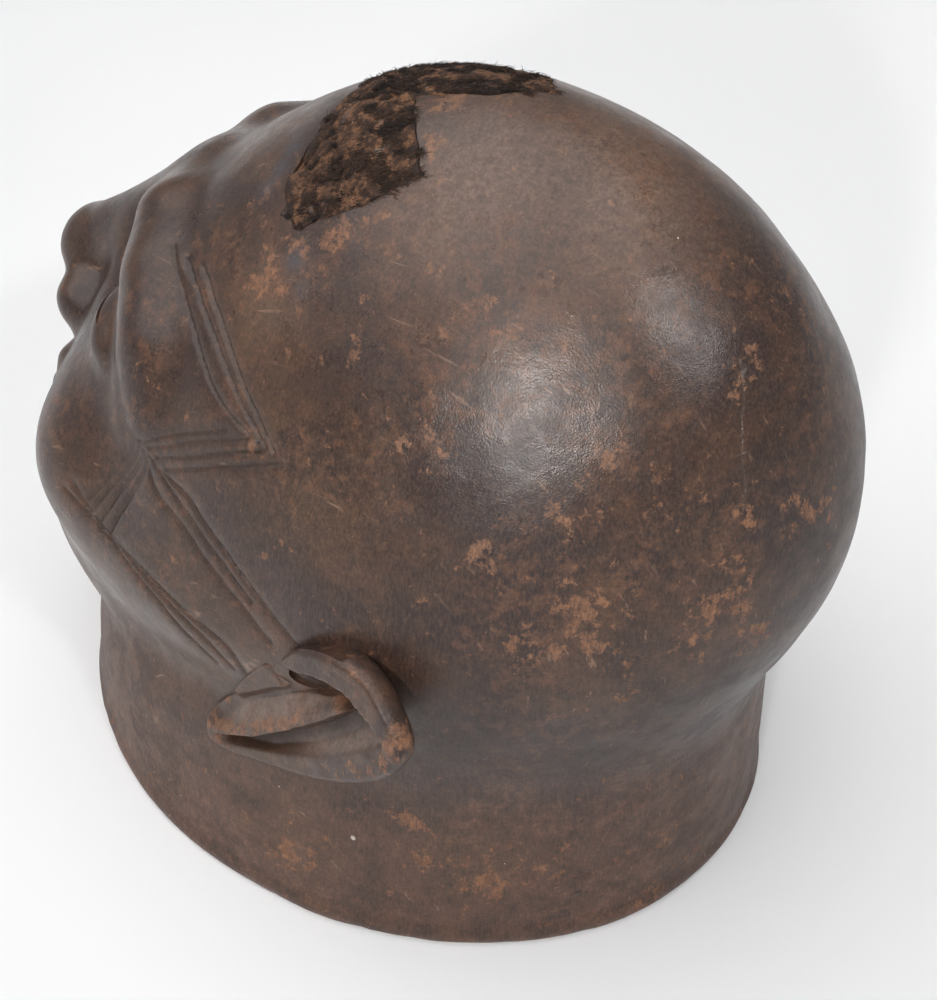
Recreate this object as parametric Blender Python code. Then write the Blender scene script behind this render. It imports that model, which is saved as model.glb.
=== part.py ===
"""Helmet mask carved from one block of wood, with human hair set in the crown.

Metres, +Z up. The face looks towards -Y, the mask's own left side is +X.
The mask stands on its flat rim at z = 0.
"""
import math

import bmesh
import bpy
import numpy as np

# ---------------------------------------------------------------- sizes (m)
SHIFT_Y = 0.0019             # centres the whole shape over the origin

RIM_HALF_LENGTH = 0.128      # outside of the collar at the rim, front to back
RIM_HALF_WIDTH = 0.105       # outside of the collar at the rim, side to side
NECK_HEIGHT = 0.055          # height of the collar's upper section
NECK_HALF_LENGTH = 0.123
NECK_HALF_WIDTH = 0.096
NECK_LEAN = 0.002            # the collar leans back by this at NECK_HEIGHT
COLLAR_TOP = 0.0865          # height of the collar's hidden top over the middle
COLLAR_SLOPE = 0.262         # it falls towards the chin by this

CRANIUM_Y = 0.034            # centre of the egg-shaped cranium
CRANIUM_Z = 0.147
CRANIUM_HALF_WIDTH = 0.090
CRANIUM_RADIUS = 0.107
CRANIUM_TILT = math.radians(-18.4)
CRANIUM_EGG = 0.309          # how much the egg narrows towards its top

HEAD_TILT = math.radians(30.0)   # the face is turned up by this
WALL = 0.0100                # wood left between cranium and cavity
COLLAR_WALL = 0.0085         # wood left in the collar

HAIR_DEPTH = 0.0026          # depth of the recess for the hair
HAIR_STAND = 0.0016          # how far the hair bed stands above the wood
FIT_GAP = 0.0003             # clearance round and under the hair bed

EAR_THICK = 0.0070
SLIT_HEIGHT = 0.0030         # pierced eye and mouth slits
EYE_SLIT_WIDTH = 0.030
MOUTH_SLIT_WIDTH = 0.042

OUTER_COLUMNS = 80
INNER_COLUMNS = 40

CRANIUM = np.array([0.0, CRANIUM_Y, CRANIUM_Z])
FORWARD = np.array([0.0, -math.cos(HEAD_TILT), math.sin(HEAD_TILT)])
UPWARD = np.array([0.0, math.sin(HEAD_TILT), math.cos(HEAD_TILT)])


# ------------------------------------------------------- solid shape of wood
def blend(a, b, k):
    """Smooth union of two distance fields."""
    h = np.clip(0.5 + 0.5 * (b - a) / k, 0.0, 1.0)
    return b + (a - b) * h - k * h * (1.0 - h)


def carve(a, b, k):
    """Smooth removal of b from a."""
    return -blend(-a, b, k)


def ellipsoid(x, u, f, centre, radii):
    qx, qu, qf = (x - centre[0]), (u - centre[1]), (f - centre[2])
    k0 = np.sqrt((qx / radii[0]) ** 2 + (qu / radii[1]) ** 2 + (qf / radii[2]) ** 2)
    k1 = np.sqrt((qx / radii[0] ** 2) ** 2 + (qu / radii[1] ** 2) ** 2
                 + (qf / radii[2] ** 2) ** 2)
    return k0 * (k0 - 1.0) / np.maximum(k1, 1e-6)


def rod(x, u, f, a, b, ra, rb):
    """Tapered bar with round ends from a to b."""
    a, b = np.array(a), np.array(b)
    d = b - a
    t = ((x - a[0]) * d[0] + (u - a[1]) * d[1] + (f - a[2]) * d[2]) / d.dot(d)
    t = np.clip(t, 0.0, 1.0)
    return np.sqrt((x - a[0] - t * d[0]) ** 2 + (u - a[1] - t * d[1]) ** 2
                   + (f - a[2] - t * d[2]) ** 2) - (ra + (rb - ra) * t)


def head_mass(p):
    """Cranium, face mass, jaw and collar without any features."""
    x, y, z = p[:, 0], p[:, 1], p[:, 2]
    q, w = y - CRANIUM_Y, z - CRANIUM_Z
    c, s = math.cos(CRANIUM_TILT), math.sin(CRANIUM_TILT)
    along, over = q * c + w * s, -q * s + w * c
    rx = CRANIUM_HALF_WIDTH * (1.0 - CRANIUM_EGG * np.clip(over / CRANIUM_RADIUS, -1.2, 1.2))
    cranium = (np.sqrt((x / rx) ** 2 + (along / CRANIUM_RADIUS) ** 2
                       + (over / CRANIUM_RADIUS) ** 2) - 1.0) * CRANIUM_HALF_WIDTH * 0.97
    t = np.clip(z / NECK_HEIGHT, 0.0, 1.6)
    half_l = RIM_HALF_LENGTH + (NECK_HALF_LENGTH - RIM_HALF_LENGTH) * t
    half_w = RIM_HALF_WIDTH + (NECK_HALF_WIDTH - RIM_HALF_WIDTH) * t
    tube = (np.sqrt((x / half_w) ** 2 + ((y - NECK_LEAN * t) / half_l) ** 2) - 1.0) * half_w
    collar_top = np.clip(COLLAR_TOP + COLLAR_SLOPE * y, 0.045, 0.1045)
    shoulder = np.interp(y, (-0.07, 0.0, 0.08), (0.036, 0.026, 0.012))
    collar = carve(tube, collar_top + 0.2 * shoulder - z, shoulder)
    body = blend(cranium, collar, 0.012)
    ax = np.abs(x)
    u = q * UPWARD[1] + w * UPWARD[2]
    f = q * FORWARD[1] + w * FORWARD[2]
    body = blend(body, ellipsoid(ax, u, f, (0, -0.055, 0.040), (0.084, 0.108, 0.088)), 0.016)
    body = blend(body, ellipsoid(ax, u, f, (0, -0.112, 0.056), (0.074, 0.050, 0.068)), 0.012)
    body = blend(body, ellipsoid(ax, y, z, (0, -0.018, 0.106), (0.0925, 0.108, 0.058)), 0.014)
    return body


def head_shape(p):
    """The whole outside of the mask without its ears."""
    body = head_mass(p)
    x = np.abs(p[:, 0])
    q, w = p[:, 1] - CRANIUM_Y, p[:, 2] - CRANIUM_Z
    u = q * UPWARD[1] + w * UPWARD[2]
    f = q * FORWARD[1] + w * FORWARD[2]
    # cheeks, muzzle and chin
    body = blend(body, ellipsoid(x, u, f, (0.053, -0.074, 0.084), (0.027, 0.022, 0.023)), 0.020)
    body = blend(body, ellipsoid(x, u, f, (0.0, -0.118, 0.096), (0.042, 0.028, 0.030)), 0.014)
    body = blend(body, ellipsoid(x, u, f, (0.0, -0.155, 0.090), (0.030, 0.017, 0.025)), 0.018)
    # brow arches over hollow sockets
    arch = ((0.010, -0.015, 0.1145, 0.0044), (0.026, -0.008, 0.1110, 0.0048),
            (0.044, -0.008, 0.1005, 0.0046), (0.058, -0.014, 0.0880, 0.0040),
            (0.068, -0.023, 0.0765, 0.0030))
    for a, b in zip(arch, arch[1:]):
        body = blend(body, rod(x, u, f, a[:3], b[:3], a[3], b[3]), 0.010)
    body = carve(body, ellipsoid(x, u, f, (0.040, -0.035, 0.1270), (0.031, 0.0190, 0.0165)), 0.012)
    # closed lids
    body = blend(body, ellipsoid(x, u, f, (0.040, -0.036, 0.0965), (0.0225, 0.0130, 0.0170)), 0.003)
    # nose
    body = blend(body, rod(x, u, f, (0, -0.012, 0.1160), (0, -0.074, 0.1385), 0.0085, 0.0125), 0.010)
    body = blend(body, ellipsoid(x, u, f, (0, -0.078, 0.1400), (0.0140, 0.0120, 0.0120)), 0.006)
    body = blend(body, ellipsoid(x, u, f, (0.0175, -0.0825, 0.1270), (0.0105, 0.0100, 0.0125)), 0.007)
    # lips
    lip = ((0.003, 0.0070, 0.1245, 0.0074), (0.018, 0.0062, 0.1225, 0.0066), (0.033, 0.0010, 0.1150, 0.0036))
    for a, b in zip(lip, lip[1:]):
        body = blend(body, rod(x, u, f, (a[0], a[1] - 0.1205, a[2]), (b[0], b[1] - 0.1205, b[2]), a[3], b[3]), 0.0025)
    lip = ((0.000, -0.0085, 0.1225, 0.0082), (0.018, -0.0068, 0.1205, 0.0070), (0.033, -0.0010, 0.1145, 0.0036))
    for a, b in zip(lip, lip[1:]):
        body = blend(body, rod(x, u, f, (a[0], a[1] - 0.1205, a[2]), (b[0], b[1] - 0.1205, b[2]), a[3], b[3]), 0.0025)
    body = carve(body, ellipsoid(x, u, f, (0, -0.1440, 0.1260), (0.024, 0.0060, 0.0090)), 0.008)
    return body


def outermost(field, origin, direction, far=0.20):
    """Last crossing of the field along rays, found from outside."""
    steps = np.linspace(0.02, far, 91)
    inside = np.stack([field(origin + direction * r) < 0.0 for r in steps])
    last = len(steps) - 1 - np.argmax(inside[::-1], axis=0)
    lo, hi = steps[last], steps[np.minimum(last + 1, len(steps) - 1)]
    for _ in range(26):
        mid = 0.5 * (lo + hi)
        neg = field(origin + direction * mid[:, None]) < 0.0
        lo, hi = np.where(neg, mid, lo), np.where(neg, hi, mid)
    return origin + direction * (0.5 * (lo + hi))[:, None]


def normals_of(field, p, h=0.0004):
    g = np.stack([field(p + np.eye(3)[i] * h) - field(p - np.eye(3)[i] * h) for i in range(3)], 1)
    return g / np.linalg.norm(g, axis=1)[:, None]


RAY_Y = 0.010
RAY_Z = 0.130


def ray_ring(columns, level, elevation):
    """One ring of rays: level below RAY_Z is a height, above it an elevation."""
    s = np.arange(columns) / columns * 2.0
    s = np.where(s > 1.0, s - 2.0, s)
    phi = np.sign(s) * math.pi * (0.5 * np.abs(s) + 0.5 * s * s)
    ce, se = math.cos(elevation), math.sin(elevation)
    d = np.stack([np.sin(phi) * ce, -np.cos(phi) * ce, np.full_like(phi, se)], 1)
    o = np.tile(np.array([0.0, RAY_Y, level]), (columns, 1))
    return o, d


def levels(heights, elevations):
    return [(h, 0.0) for h in heights] + [(RAY_Z, math.radians(e)) for e in elevations]


OUTER_LEVELS = levels(
    [0.0, 0.0012, 0.006, 0.020, 0.036, 0.050, 0.062, 0.072, 0.081, 0.089, 0.096,
     0.103, 0.110, 0.117, 0.1235, 0.130],
    [2.3 * i for i in range(1, 8)] + [19.5 + 3.6 * i for i in range(8)]
    + [51, 57, 63.5, 70, 77, 84])
INNER_LEVELS = levels([0.0, 0.022, 0.045, 0.066, 0.088, 0.110, 0.130],
                      [14, 28, 42, 56, 70, 82])


def mask_shell():
    """Outside and cavity lofted as rings and joined by the flat rim."""
    outer = []
    for n, (level, elevation) in enumerate(OUTER_LEVELS):
        o, d = ray_ring(OUTER_COLUMNS, level, elevation)
        ring = outermost(head_shape, o, d)
        if n < 2:      # the rim's outer edge is worn round
            ring = o + (ring - o) * (1.0 - (0.010, 0.003)[n])
        outer.append(ring)
    top = outermost(head_shape, np.array([[0.0, RAY_Y, RAY_Z]]), np.array([[0.0, 0.0, 1.0]]))
    inner = []
    for n, (level, elevation) in enumerate(INNER_LEVELS):
        o, d = ray_ring(INNER_COLUMNS, level, elevation)
        ring = outermost(head_mass, o, d)
        wall = COLLAR_WALL + (WALL - COLLAR_WALL) * min(1.0, n / 3.0)
        ring = ring - normals_of(head_mass, ring) * wall
        if n == 0:
            ring[:, 2] = 0.0
        inner.append(ring)
    roof = top - np.array([[0.0, 0.0, WALL]])

    bm = bmesh.new()
    def add(ring):
        return [bm.verts.new(tuple(v)) for v in ring]
    outer_v = [add(r) for r in outer]
    inner_v = [add(r) for r in inner]
    top_v, roof_v = bm.verts.new(tuple(top[0])), bm.verts.new(tuple(roof[0]))
    for a, b in zip(outer_v, outer_v[1:]):
        for i in range(OUTER_COLUMNS):
            j = (i + 1) % OUTER_COLUMNS
            bm.faces.new((a[i], a[j], b[j], b[i]))
    for a, b in zip(inner_v, inner_v[1:]):
        for i in range(INNER_COLUMNS):
            j = (i + 1) % INNER_COLUMNS
            bm.faces.new((a[j], a[i], b[i], b[j]))
    for i in range(OUTER_COLUMNS):
        bm.faces.new((outer_v[-1][i], outer_v[-1][(i + 1) % OUTER_COLUMNS], top_v))
    for i in range(INNER_COLUMNS):
        bm.faces.new((inner_v[-1][(i + 1) % INNER_COLUMNS], inner_v[-1][i], roof_v))
        a, b = outer_v[0], inner_v[0]
        k, j = (2 * i + 2) % OUTER_COLUMNS, (i + 1) % INNER_COLUMNS
        bm.faces.new((a[2 * i + 1], a[2 * i], b[i]))
        bm.faces.new((a[2 * i + 1], b[i], b[j]))
        bm.faces.new((a[k], a[2 * i + 1], b[j]))
    return bm


# --------------------------------------------------------------------- ears
EAR_ROOT = np.array([0.094, -0.021, 0.061])     # lobe tip on the head's side
EAR_LONG = np.array([0.0, 0.585, 0.811])        # from lobe to top
EAR_OUT = np.array([0.938, -0.281, 0.203])
EAR_OUT = EAR_OUT / np.linalg.norm(EAR_OUT)
EAR_BACK = np.cross(EAR_LONG, EAR_OUT)
EAR_CENTRE = (0.056, 0.015)
# outline in millimetres: along the ear, then towards its free back edge
EAR_OUTLINE = [(0, 1), (2, 8), (23, 19), (48, 31), (69, 37), (86, 39), (97, 36), (101, 27),
               (101, 17), (97, 8), (89, 1), (78, -3), (66, -3), (54, -6), (33, -4), (10, -4)]


def closed_curve(points, count):
    """Catmull-Rom loop through the points."""
    pts = np.array(points, float)
    n = len(pts)
    out = []
    for k in range(count):
        t = k * n / count
        i, t = int(t), t - int(t)
        p0, p1, p2, p3 = (pts[(i + d) % n] for d in (-1, 0, 1, 2))
        out.append(0.5 * (2 * p1 + (p2 - p0) * t + (2 * p0 - 5 * p1 + 4 * p2 - p3) * t * t
                          + (3 * p1 - p0 - 3 * p2 + p3) * t ** 3))
    return np.array(out)


def bump(v, centre, half):
    return np.clip(1.0 - ((v - centre) / half) ** 2, 0.0, 1.0)


def ear_height(a, b, t):
    """Carved face of the ear: rolled rim, hollow and a long raised leaf."""
    upper = np.clip((a - 0.050) / 0.030, 0.0, 1.0)
    rim = (0.0018 + 0.0030 * upper) * np.clip((t - 0.66) / 0.16, 0, 1) ** 1.5
    hollow = -0.0040 * (1.0 - np.clip(t / 0.86, 0, 1) ** 4)
    along = np.clip((a - 0.008) / 0.080, 0.0, 1.0)
    axis = 0.000 + 0.018 * along ** 1.4
    leaf = 0.0052 * bump(b, axis, 0.0085) * np.clip(4 * along * (1 - along) * 1.6, 0, 1)
    low = 0.0030 * bump(b, 0.0255, 0.006) * bump(a, 0.072, 0.026)
    edge = -0.0022 * np.clip((t - 0.90) / 0.10, 0, 1) ** 2
    return rim + hollow + leaf + low + edge


def ear_solid(side, around=38, rings=6):
    rim = closed_curve(EAR_OUTLINE, around) * 0.001
    centre = np.array(EAR_CENTRE)
    bm = bmesh.new()

    def place(a, b, h):
        p = EAR_ROOT + np.outer(a, EAR_LONG) + np.outer(b, EAR_BACK) + np.outer(h, EAR_OUT)
        p[:, 0] *= side
        return [bm.verts.new(tuple(v)) for v in p]
    loops = []
    for k in range(1, rings + 1):
        t = (k / rings) ** 0.85
        pts = centre + (rim - centre) * t
        loops.append(place(pts[:, 0], pts[:, 1],
                           ear_height(pts[:, 0], pts[:, 1], np.full(around, t))))
    pts = centre + (rim - centre) * 0.995
    loops.append(place(pts[:, 0], pts[:, 1], np.full(around, -EAR_THICK * 0.62)))
    pts = centre + (rim - centre) * 0.90
    loops.append(place(pts[:, 0], pts[:, 1], np.full(around, -EAR_THICK)))
    pts = centre + (rim - centre) * 0.45
    loops.append(place(pts[:, 0], pts[:, 1], np.full(around, -EAR_THICK)))
    one = np.array([0.0])
    first = place(one + centre[0], one + centre[1], ear_height(one + centre[0], one + centre[1], one))[0]
    last = place(one + centre[0], one + centre[1], one - EAR_THICK)[0]
    for i in range(around):
        j = (i + 1) % around
        bm.faces.new((first, loops[0][i], loops[0][j]))
        bm.faces.new((last, loops[-1][j], loops[-1][i]))
        for a, b in zip(loops, loops[1:]):
            bm.faces.new((a[i], b[i], b[j], a[j]))
    bmesh.ops.recalc_face_normals(bm, faces=bm.faces)
    return bm


# --------------------------------------------------------------------- hair
# Edges of the haired area in slopes x/h and y/h, seen from a point on the
# cranium's axis at height CRANIUM_Z, h being the height above that point.
# A band runs across the brow to both temples, a strip runs back from it.
HAIR_FRONT = [(-0.66, -0.130), (-0.53, -0.225), (-0.16, -0.190), (0.063, -0.181),
              (0.425, -0.225), (0.558, -0.130)]
HAIR_BACK = [(-0.66, -0.095), (-0.54, 0.103), (-0.41, 0.229), (-0.205, 0.058), (0.077, 0.058),
             (0.3125, 0.229), (0.437, 0.103), (0.558, -0.095)]
STRIP_FROM, STRIP_TO = 0.058, 0.375      # the strip's start and end
STRIP_FAR = [(0.058, -0.205), (0.375, -0.200)]
STRIP_NEAR = [(0.058, 0.077), (0.241, 0.028), (0.375, -0.056)]


def along_line(points, x):
    pts = np.array(points)
    return np.interp(x, pts[:, 0], pts[:, 1])


def hair_edges(x, inset):
    """Front and back edge of the band at x, the area shrunk by inset."""
    shift = np.linspace(-inset, inset, 9)[:, None]
    front = np.max(along_line(HAIR_FRONT, x[None, :] + shift), axis=0) + inset
    back = np.min(along_line(HAIR_BACK, x[None, :] + shift), axis=0) - inset
    return front, back


def hair_slab(inset, below, above, rows=5, strip_rows=6):
    """Curved plate over the haired area, between two offsets of the wood."""
    far = np.array([-0.66 + inset, -0.60, -0.53, -0.47, -0.41, -0.34, -0.27])
    share = np.array([0.0, 0.2, 0.4, 0.6, 0.8, 1.0])
    middle = (-0.205 + inset) + (0.077 + 0.205 - 2.2 * inset) * share
    near = np.array([0.135, 0.195, 0.255, 0.3125, 0.370, 0.425, 0.470, 0.515, 0.558 - inset])
    x = np.concatenate([far, middle, near])
    first, last = len(far), len(far) + len(share) - 1
    front, back = hair_edges(x, inset)
    back = np.maximum(back, front + 0.004)
    sheet = [[(x[i], front[i] + (back[i] - front[i]) * k / rows) for i in range(len(x))]
             for k in range(rows + 1)]
    strip = []
    for k in range(1, strip_rows + 1):
        y = STRIP_FROM + (STRIP_TO - inset - STRIP_FROM) * k / strip_rows
        left = along_line(STRIP_FAR, y) + inset
        right = along_line(STRIP_NEAR, y) - 1.2 * inset
        strip.append([(left + (right - left) * t, y) for t in share])
    bm = bmesh.new()

    def lift(points, offset):
        pts = np.array(points)
        d = np.column_stack([pts, np.ones(len(pts))])
        d /= np.linalg.norm(d, axis=1)[:, None]
        o = np.tile(np.array([0.0, 0.0, CRANIUM_Z]), (len(pts), 1))
        p = outermost(head_mass, o, d, 0.16) + d * offset
        return [bm.verts.new(tuple(v)) for v in p]

    sides = []
    for offset in (below, above):
        band = [lift(r, offset) for r in sheet]
        tail = [band[-1][first:last + 1]] + [lift(r, offset) for r in strip]
        edge = (band[0] + [r[-1] for r in band[1:]] + band[-1][last:-1][::-1]
                + [r[-1] for r in tail[1:]] + tail[-1][:-1][::-1]
                + [r[0] for r in tail[1:-1]][::-1] + band[-1][1:first + 1][::-1]
                + [r[0] for r in band[1:]][::-1])
        sides.append((band, tail, edge))
        for grid in (band, tail):
            for a, b in zip(grid, grid[1:]):
                for i in range(len(a) - 1):
                    quad = (a[i], a[i + 1], b[i + 1], b[i])
                    bm.faces.new(quad if offset == above else quad[::-1])
    low, high = sides[0][2], sides[1][2]
    for i in range(len(low)):
        j = (i + 1) % len(low)
        bm.faces.new((low[i], low[j], high[j], high[i]))
    bmesh.ops.recalc_face_normals(bm, faces=bm.faces)
    return bm


# -------------------------------------------------------------------- slits
def slit_cutter(centre_x, u, width, sag, f_low, f_high, count=9):
    """Lens-shaped prism along the face's own direction, arched by sag."""
    s = np.linspace(-1.0, 1.0, count)
    half = SLIT_HEIGHT * 0.5 * np.sqrt(np.clip(1.0 - s * s * 0.94, 0.02, 1.0))
    xs = centre_x + s * width / 2
    mid = u + sag * s * s
    ring = list(zip(xs, mid + half)) + list(zip(xs[::-1], (mid - half)[::-1]))
    bm = bmesh.new()
    ends = []
    for f in (f_low, f_high):
        ends.append([bm.verts.new(tuple(CRANIUM + np.array([x, 0, 0]) + UPWARD * v + FORWARD * f))
                     for x, v in ring])
    n = len(ring)
    for i in range(n):
        j = (i + 1) % n
        bm.faces.new((ends[0][i], ends[0][j], ends[1][j], ends[1][i]))
    bm.faces.new(ends[0][::-1])
    bm.faces.new(ends[1])
    bmesh.ops.recalc_face_normals(bm, faces=bm.faces)
    return bm


# --------------------------------------------------------------- the object
def material(name, colour, roughness, metallic=0.0):
    m = bpy.data.materials.new(name)
    m.use_nodes = True
    b = m.node_tree.nodes["Principled BSDF"]
    b.inputs["Base Color"].default_value = (*colour, 1.0)
    b.inputs["Roughness"].default_value = roughness
    b.inputs["Metallic"].default_value = metallic
    return m


def to_object(bm, name, collection, mat=None):
    for v in bm.verts:
        v.co.y += SHIFT_Y
    mesh = bpy.data.meshes.new(name)
    bm.to_mesh(mesh)
    bm.free()
    obj = bpy.data.objects.new(name, mesh)
    collection.objects.link(obj)
    if mat:
        mesh.materials.append(mat)
    return obj


def boolean(target, tool, operation):
    mod = target.modifiers.new(tool.name, "BOOLEAN")
    mod.operation = operation
    mod.object = tool
    mod.solver = "EXACT"


def main():
    for obj in list(bpy.data.objects):
        bpy.data.objects.remove(obj, do_unlink=True)
    parts = bpy.data.collections.new("helmet_mask")
    cutters = bpy.data.collections.new("cutters")
    for collection in (parts, cutters):
        bpy.context.scene.collection.children.link(collection)

    wood = material("patinated_wood", (0.085, 0.058, 0.045), 0.48)
    hair = material("hair_and_wax", (0.030, 0.018, 0.012), 0.85)

    mask = to_object(mask_shell(), "carved_mask", parts, wood)
    tools = [
        ("ear_left", ear_solid(1.0), "UNION"),
        ("ear_right", ear_solid(-1.0), "UNION"),
        ("hair_recess", hair_slab(0.0, -HAIR_DEPTH, 0.006), "DIFFERENCE"),
        ("eye_slit_left", slit_cutter(0.040, -0.0335, EYE_SLIT_WIDTH, 0.0012, 0.078, 0.132), "DIFFERENCE"),
        ("eye_slit_right", slit_cutter(-0.040, -0.0335, EYE_SLIT_WIDTH, 0.0012, 0.078, 0.132), "DIFFERENCE"),
        ("mouth_slit", slit_cutter(0.0, -0.1205, MOUTH_SLIT_WIDTH, 0.0008, 0.085, 0.155), "DIFFERENCE"),
    ]
    for name, bm, operation in tools:
        tool = to_object(bm, name, cutters)
        tool.hide_render = True
        tool.display_type = "WIRE"
        boolean(mask, tool, operation)

    to_object(hair_slab(0.0050, -HAIR_DEPTH + FIT_GAP, HAIR_STAND), "hair_inset", parts, hair)
    for obj in parts.objects:
        obj.data.shade_smooth()
        obj.data.set_sharp_from_angle(angle=math.radians(50))


main()
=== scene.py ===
"""Looks of the carved helmet mask: relief, hair, patina, floor, light and camera.

Metres, +Z up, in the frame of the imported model. The face looks towards -Y and
the mask's own left side is +X.
"""

import math

import bmesh
import bpy
import numpy as np
from mathutils import Matrix, Vector
from mathutils.kdtree import KDTree


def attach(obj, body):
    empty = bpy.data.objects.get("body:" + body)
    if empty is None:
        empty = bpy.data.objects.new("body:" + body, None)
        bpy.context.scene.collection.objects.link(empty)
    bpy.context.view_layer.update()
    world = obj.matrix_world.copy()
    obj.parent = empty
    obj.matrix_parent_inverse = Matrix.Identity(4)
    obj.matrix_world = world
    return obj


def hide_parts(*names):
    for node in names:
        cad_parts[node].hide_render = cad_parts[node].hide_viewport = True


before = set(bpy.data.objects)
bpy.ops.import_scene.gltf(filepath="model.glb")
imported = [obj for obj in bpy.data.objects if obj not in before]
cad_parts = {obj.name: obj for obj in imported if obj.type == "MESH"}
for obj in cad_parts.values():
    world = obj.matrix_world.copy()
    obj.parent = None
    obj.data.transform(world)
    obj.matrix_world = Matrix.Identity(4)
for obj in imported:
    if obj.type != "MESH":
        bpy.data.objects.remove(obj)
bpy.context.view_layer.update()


# ---------------------------------------------------------------- sizes (m)
SHIFT_Y = 0.0019

RIM_HALF_LENGTH = 0.128
RIM_HALF_WIDTH = 0.105
NECK_HEIGHT = 0.055
NECK_HALF_LENGTH = 0.123
NECK_HALF_WIDTH = 0.096
NECK_LEAN = 0.002
COLLAR_TOP = 0.0865
COLLAR_SLOPE = 0.262

CRANIUM_Y = 0.034
CRANIUM_Z = 0.147
CRANIUM_HALF_WIDTH = 0.090
CRANIUM_RADIUS = 0.107
CRANIUM_TILT = math.radians(-18.4)
CRANIUM_EGG = 0.309

HEAD_TILT = math.radians(30.0)
WALL = 0.0100
COLLAR_WALL = 0.0085

HAIR_DEPTH = 0.0026
FIT_GAP = 0.0003

EAR_THICK = 0.0070
SLIT_HEIGHT = 0.0030
EYE_SLIT_WIDTH = 0.030
MOUTH_SLIT_WIDTH = 0.042

CRANIUM = np.array([0.0, CRANIUM_Y, CRANIUM_Z])
FORWARD = np.array([0.0, -math.cos(HEAD_TILT), math.sin(HEAD_TILT)])
UPWARD = np.array([0.0, math.sin(HEAD_TILT), math.cos(HEAD_TILT)])

rng = np.random.default_rng(11)


# ------------------------------------------------------- solid shape of wood
def blend(a, b, k):
    h = np.clip(0.5 + 0.5 * (b - a) / k, 0.0, 1.0)
    return b + (a - b) * h - k * h * (1.0 - h)


def carve(a, b, k):
    return -blend(-a, b, k)


def ellipsoid(x, u, f, centre, radii):
    qx, qu, qf = (x - centre[0]), (u - centre[1]), (f - centre[2])
    k0 = np.sqrt((qx / radii[0]) ** 2 + (qu / radii[1]) ** 2 + (qf / radii[2]) ** 2)
    k1 = np.sqrt((qx / radii[0] ** 2) ** 2 + (qu / radii[1] ** 2) ** 2
                 + (qf / radii[2] ** 2) ** 2)
    return k0 * (k0 - 1.0) / np.maximum(k1, 1e-6)


def rod(x, u, f, a, b, ra, rb):
    a, b = np.array(a), np.array(b)
    d = b - a
    t = ((x - a[0]) * d[0] + (u - a[1]) * d[1] + (f - a[2]) * d[2]) / d.dot(d)
    t = np.clip(t, 0.0, 1.0)
    return np.sqrt((x - a[0] - t * d[0]) ** 2 + (u - a[1] - t * d[1]) ** 2
                   + (f - a[2] - t * d[2]) ** 2) - (ra + (rb - ra) * t)


def head_mass(p):
    """Cranium, face mass, jaw and collar without any features."""
    x, y, z = p[:, 0], p[:, 1], p[:, 2]
    q, w = y - CRANIUM_Y, z - CRANIUM_Z
    c, s = math.cos(CRANIUM_TILT), math.sin(CRANIUM_TILT)
    along, over = q * c + w * s, -q * s + w * c
    rx = CRANIUM_HALF_WIDTH * (1.0 - CRANIUM_EGG * np.clip(over / CRANIUM_RADIUS, -1.2, 1.2))
    cranium = (np.sqrt((x / rx) ** 2 + (along / CRANIUM_RADIUS) ** 2
                       + (over / CRANIUM_RADIUS) ** 2) - 1.0) * CRANIUM_HALF_WIDTH * 0.97
    t = np.clip(z / NECK_HEIGHT, 0.0, 1.6)
    half_l = RIM_HALF_LENGTH + (NECK_HALF_LENGTH - RIM_HALF_LENGTH) * t
    half_w = RIM_HALF_WIDTH + (NECK_HALF_WIDTH - RIM_HALF_WIDTH) * t
    tube = (np.sqrt((x / half_w) ** 2 + ((y - NECK_LEAN * t) / half_l) ** 2) - 1.0) * half_w
    collar_top = np.clip(COLLAR_TOP + COLLAR_SLOPE * y, 0.045, 0.1045)
    shoulder = np.interp(y, (-0.07, 0.0, 0.08), (0.036, 0.026, 0.012))
    collar = carve(tube, collar_top + 0.2 * shoulder - z, shoulder)
    body = blend(cranium, collar, 0.012)
    ax = np.abs(x)
    u = q * UPWARD[1] + w * UPWARD[2]
    f = q * FORWARD[1] + w * FORWARD[2]
    body = blend(body, ellipsoid(ax, u, f, (0, -0.055, 0.040), (0.084, 0.108, 0.088)), 0.016)
    body = blend(body, ellipsoid(ax, u, f, (0, -0.112, 0.056), (0.074, 0.050, 0.068)), 0.012)
    body = blend(body, ellipsoid(ax, y, z, (0, -0.018, 0.106), (0.0925, 0.108, 0.058)), 0.014)
    return body


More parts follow.
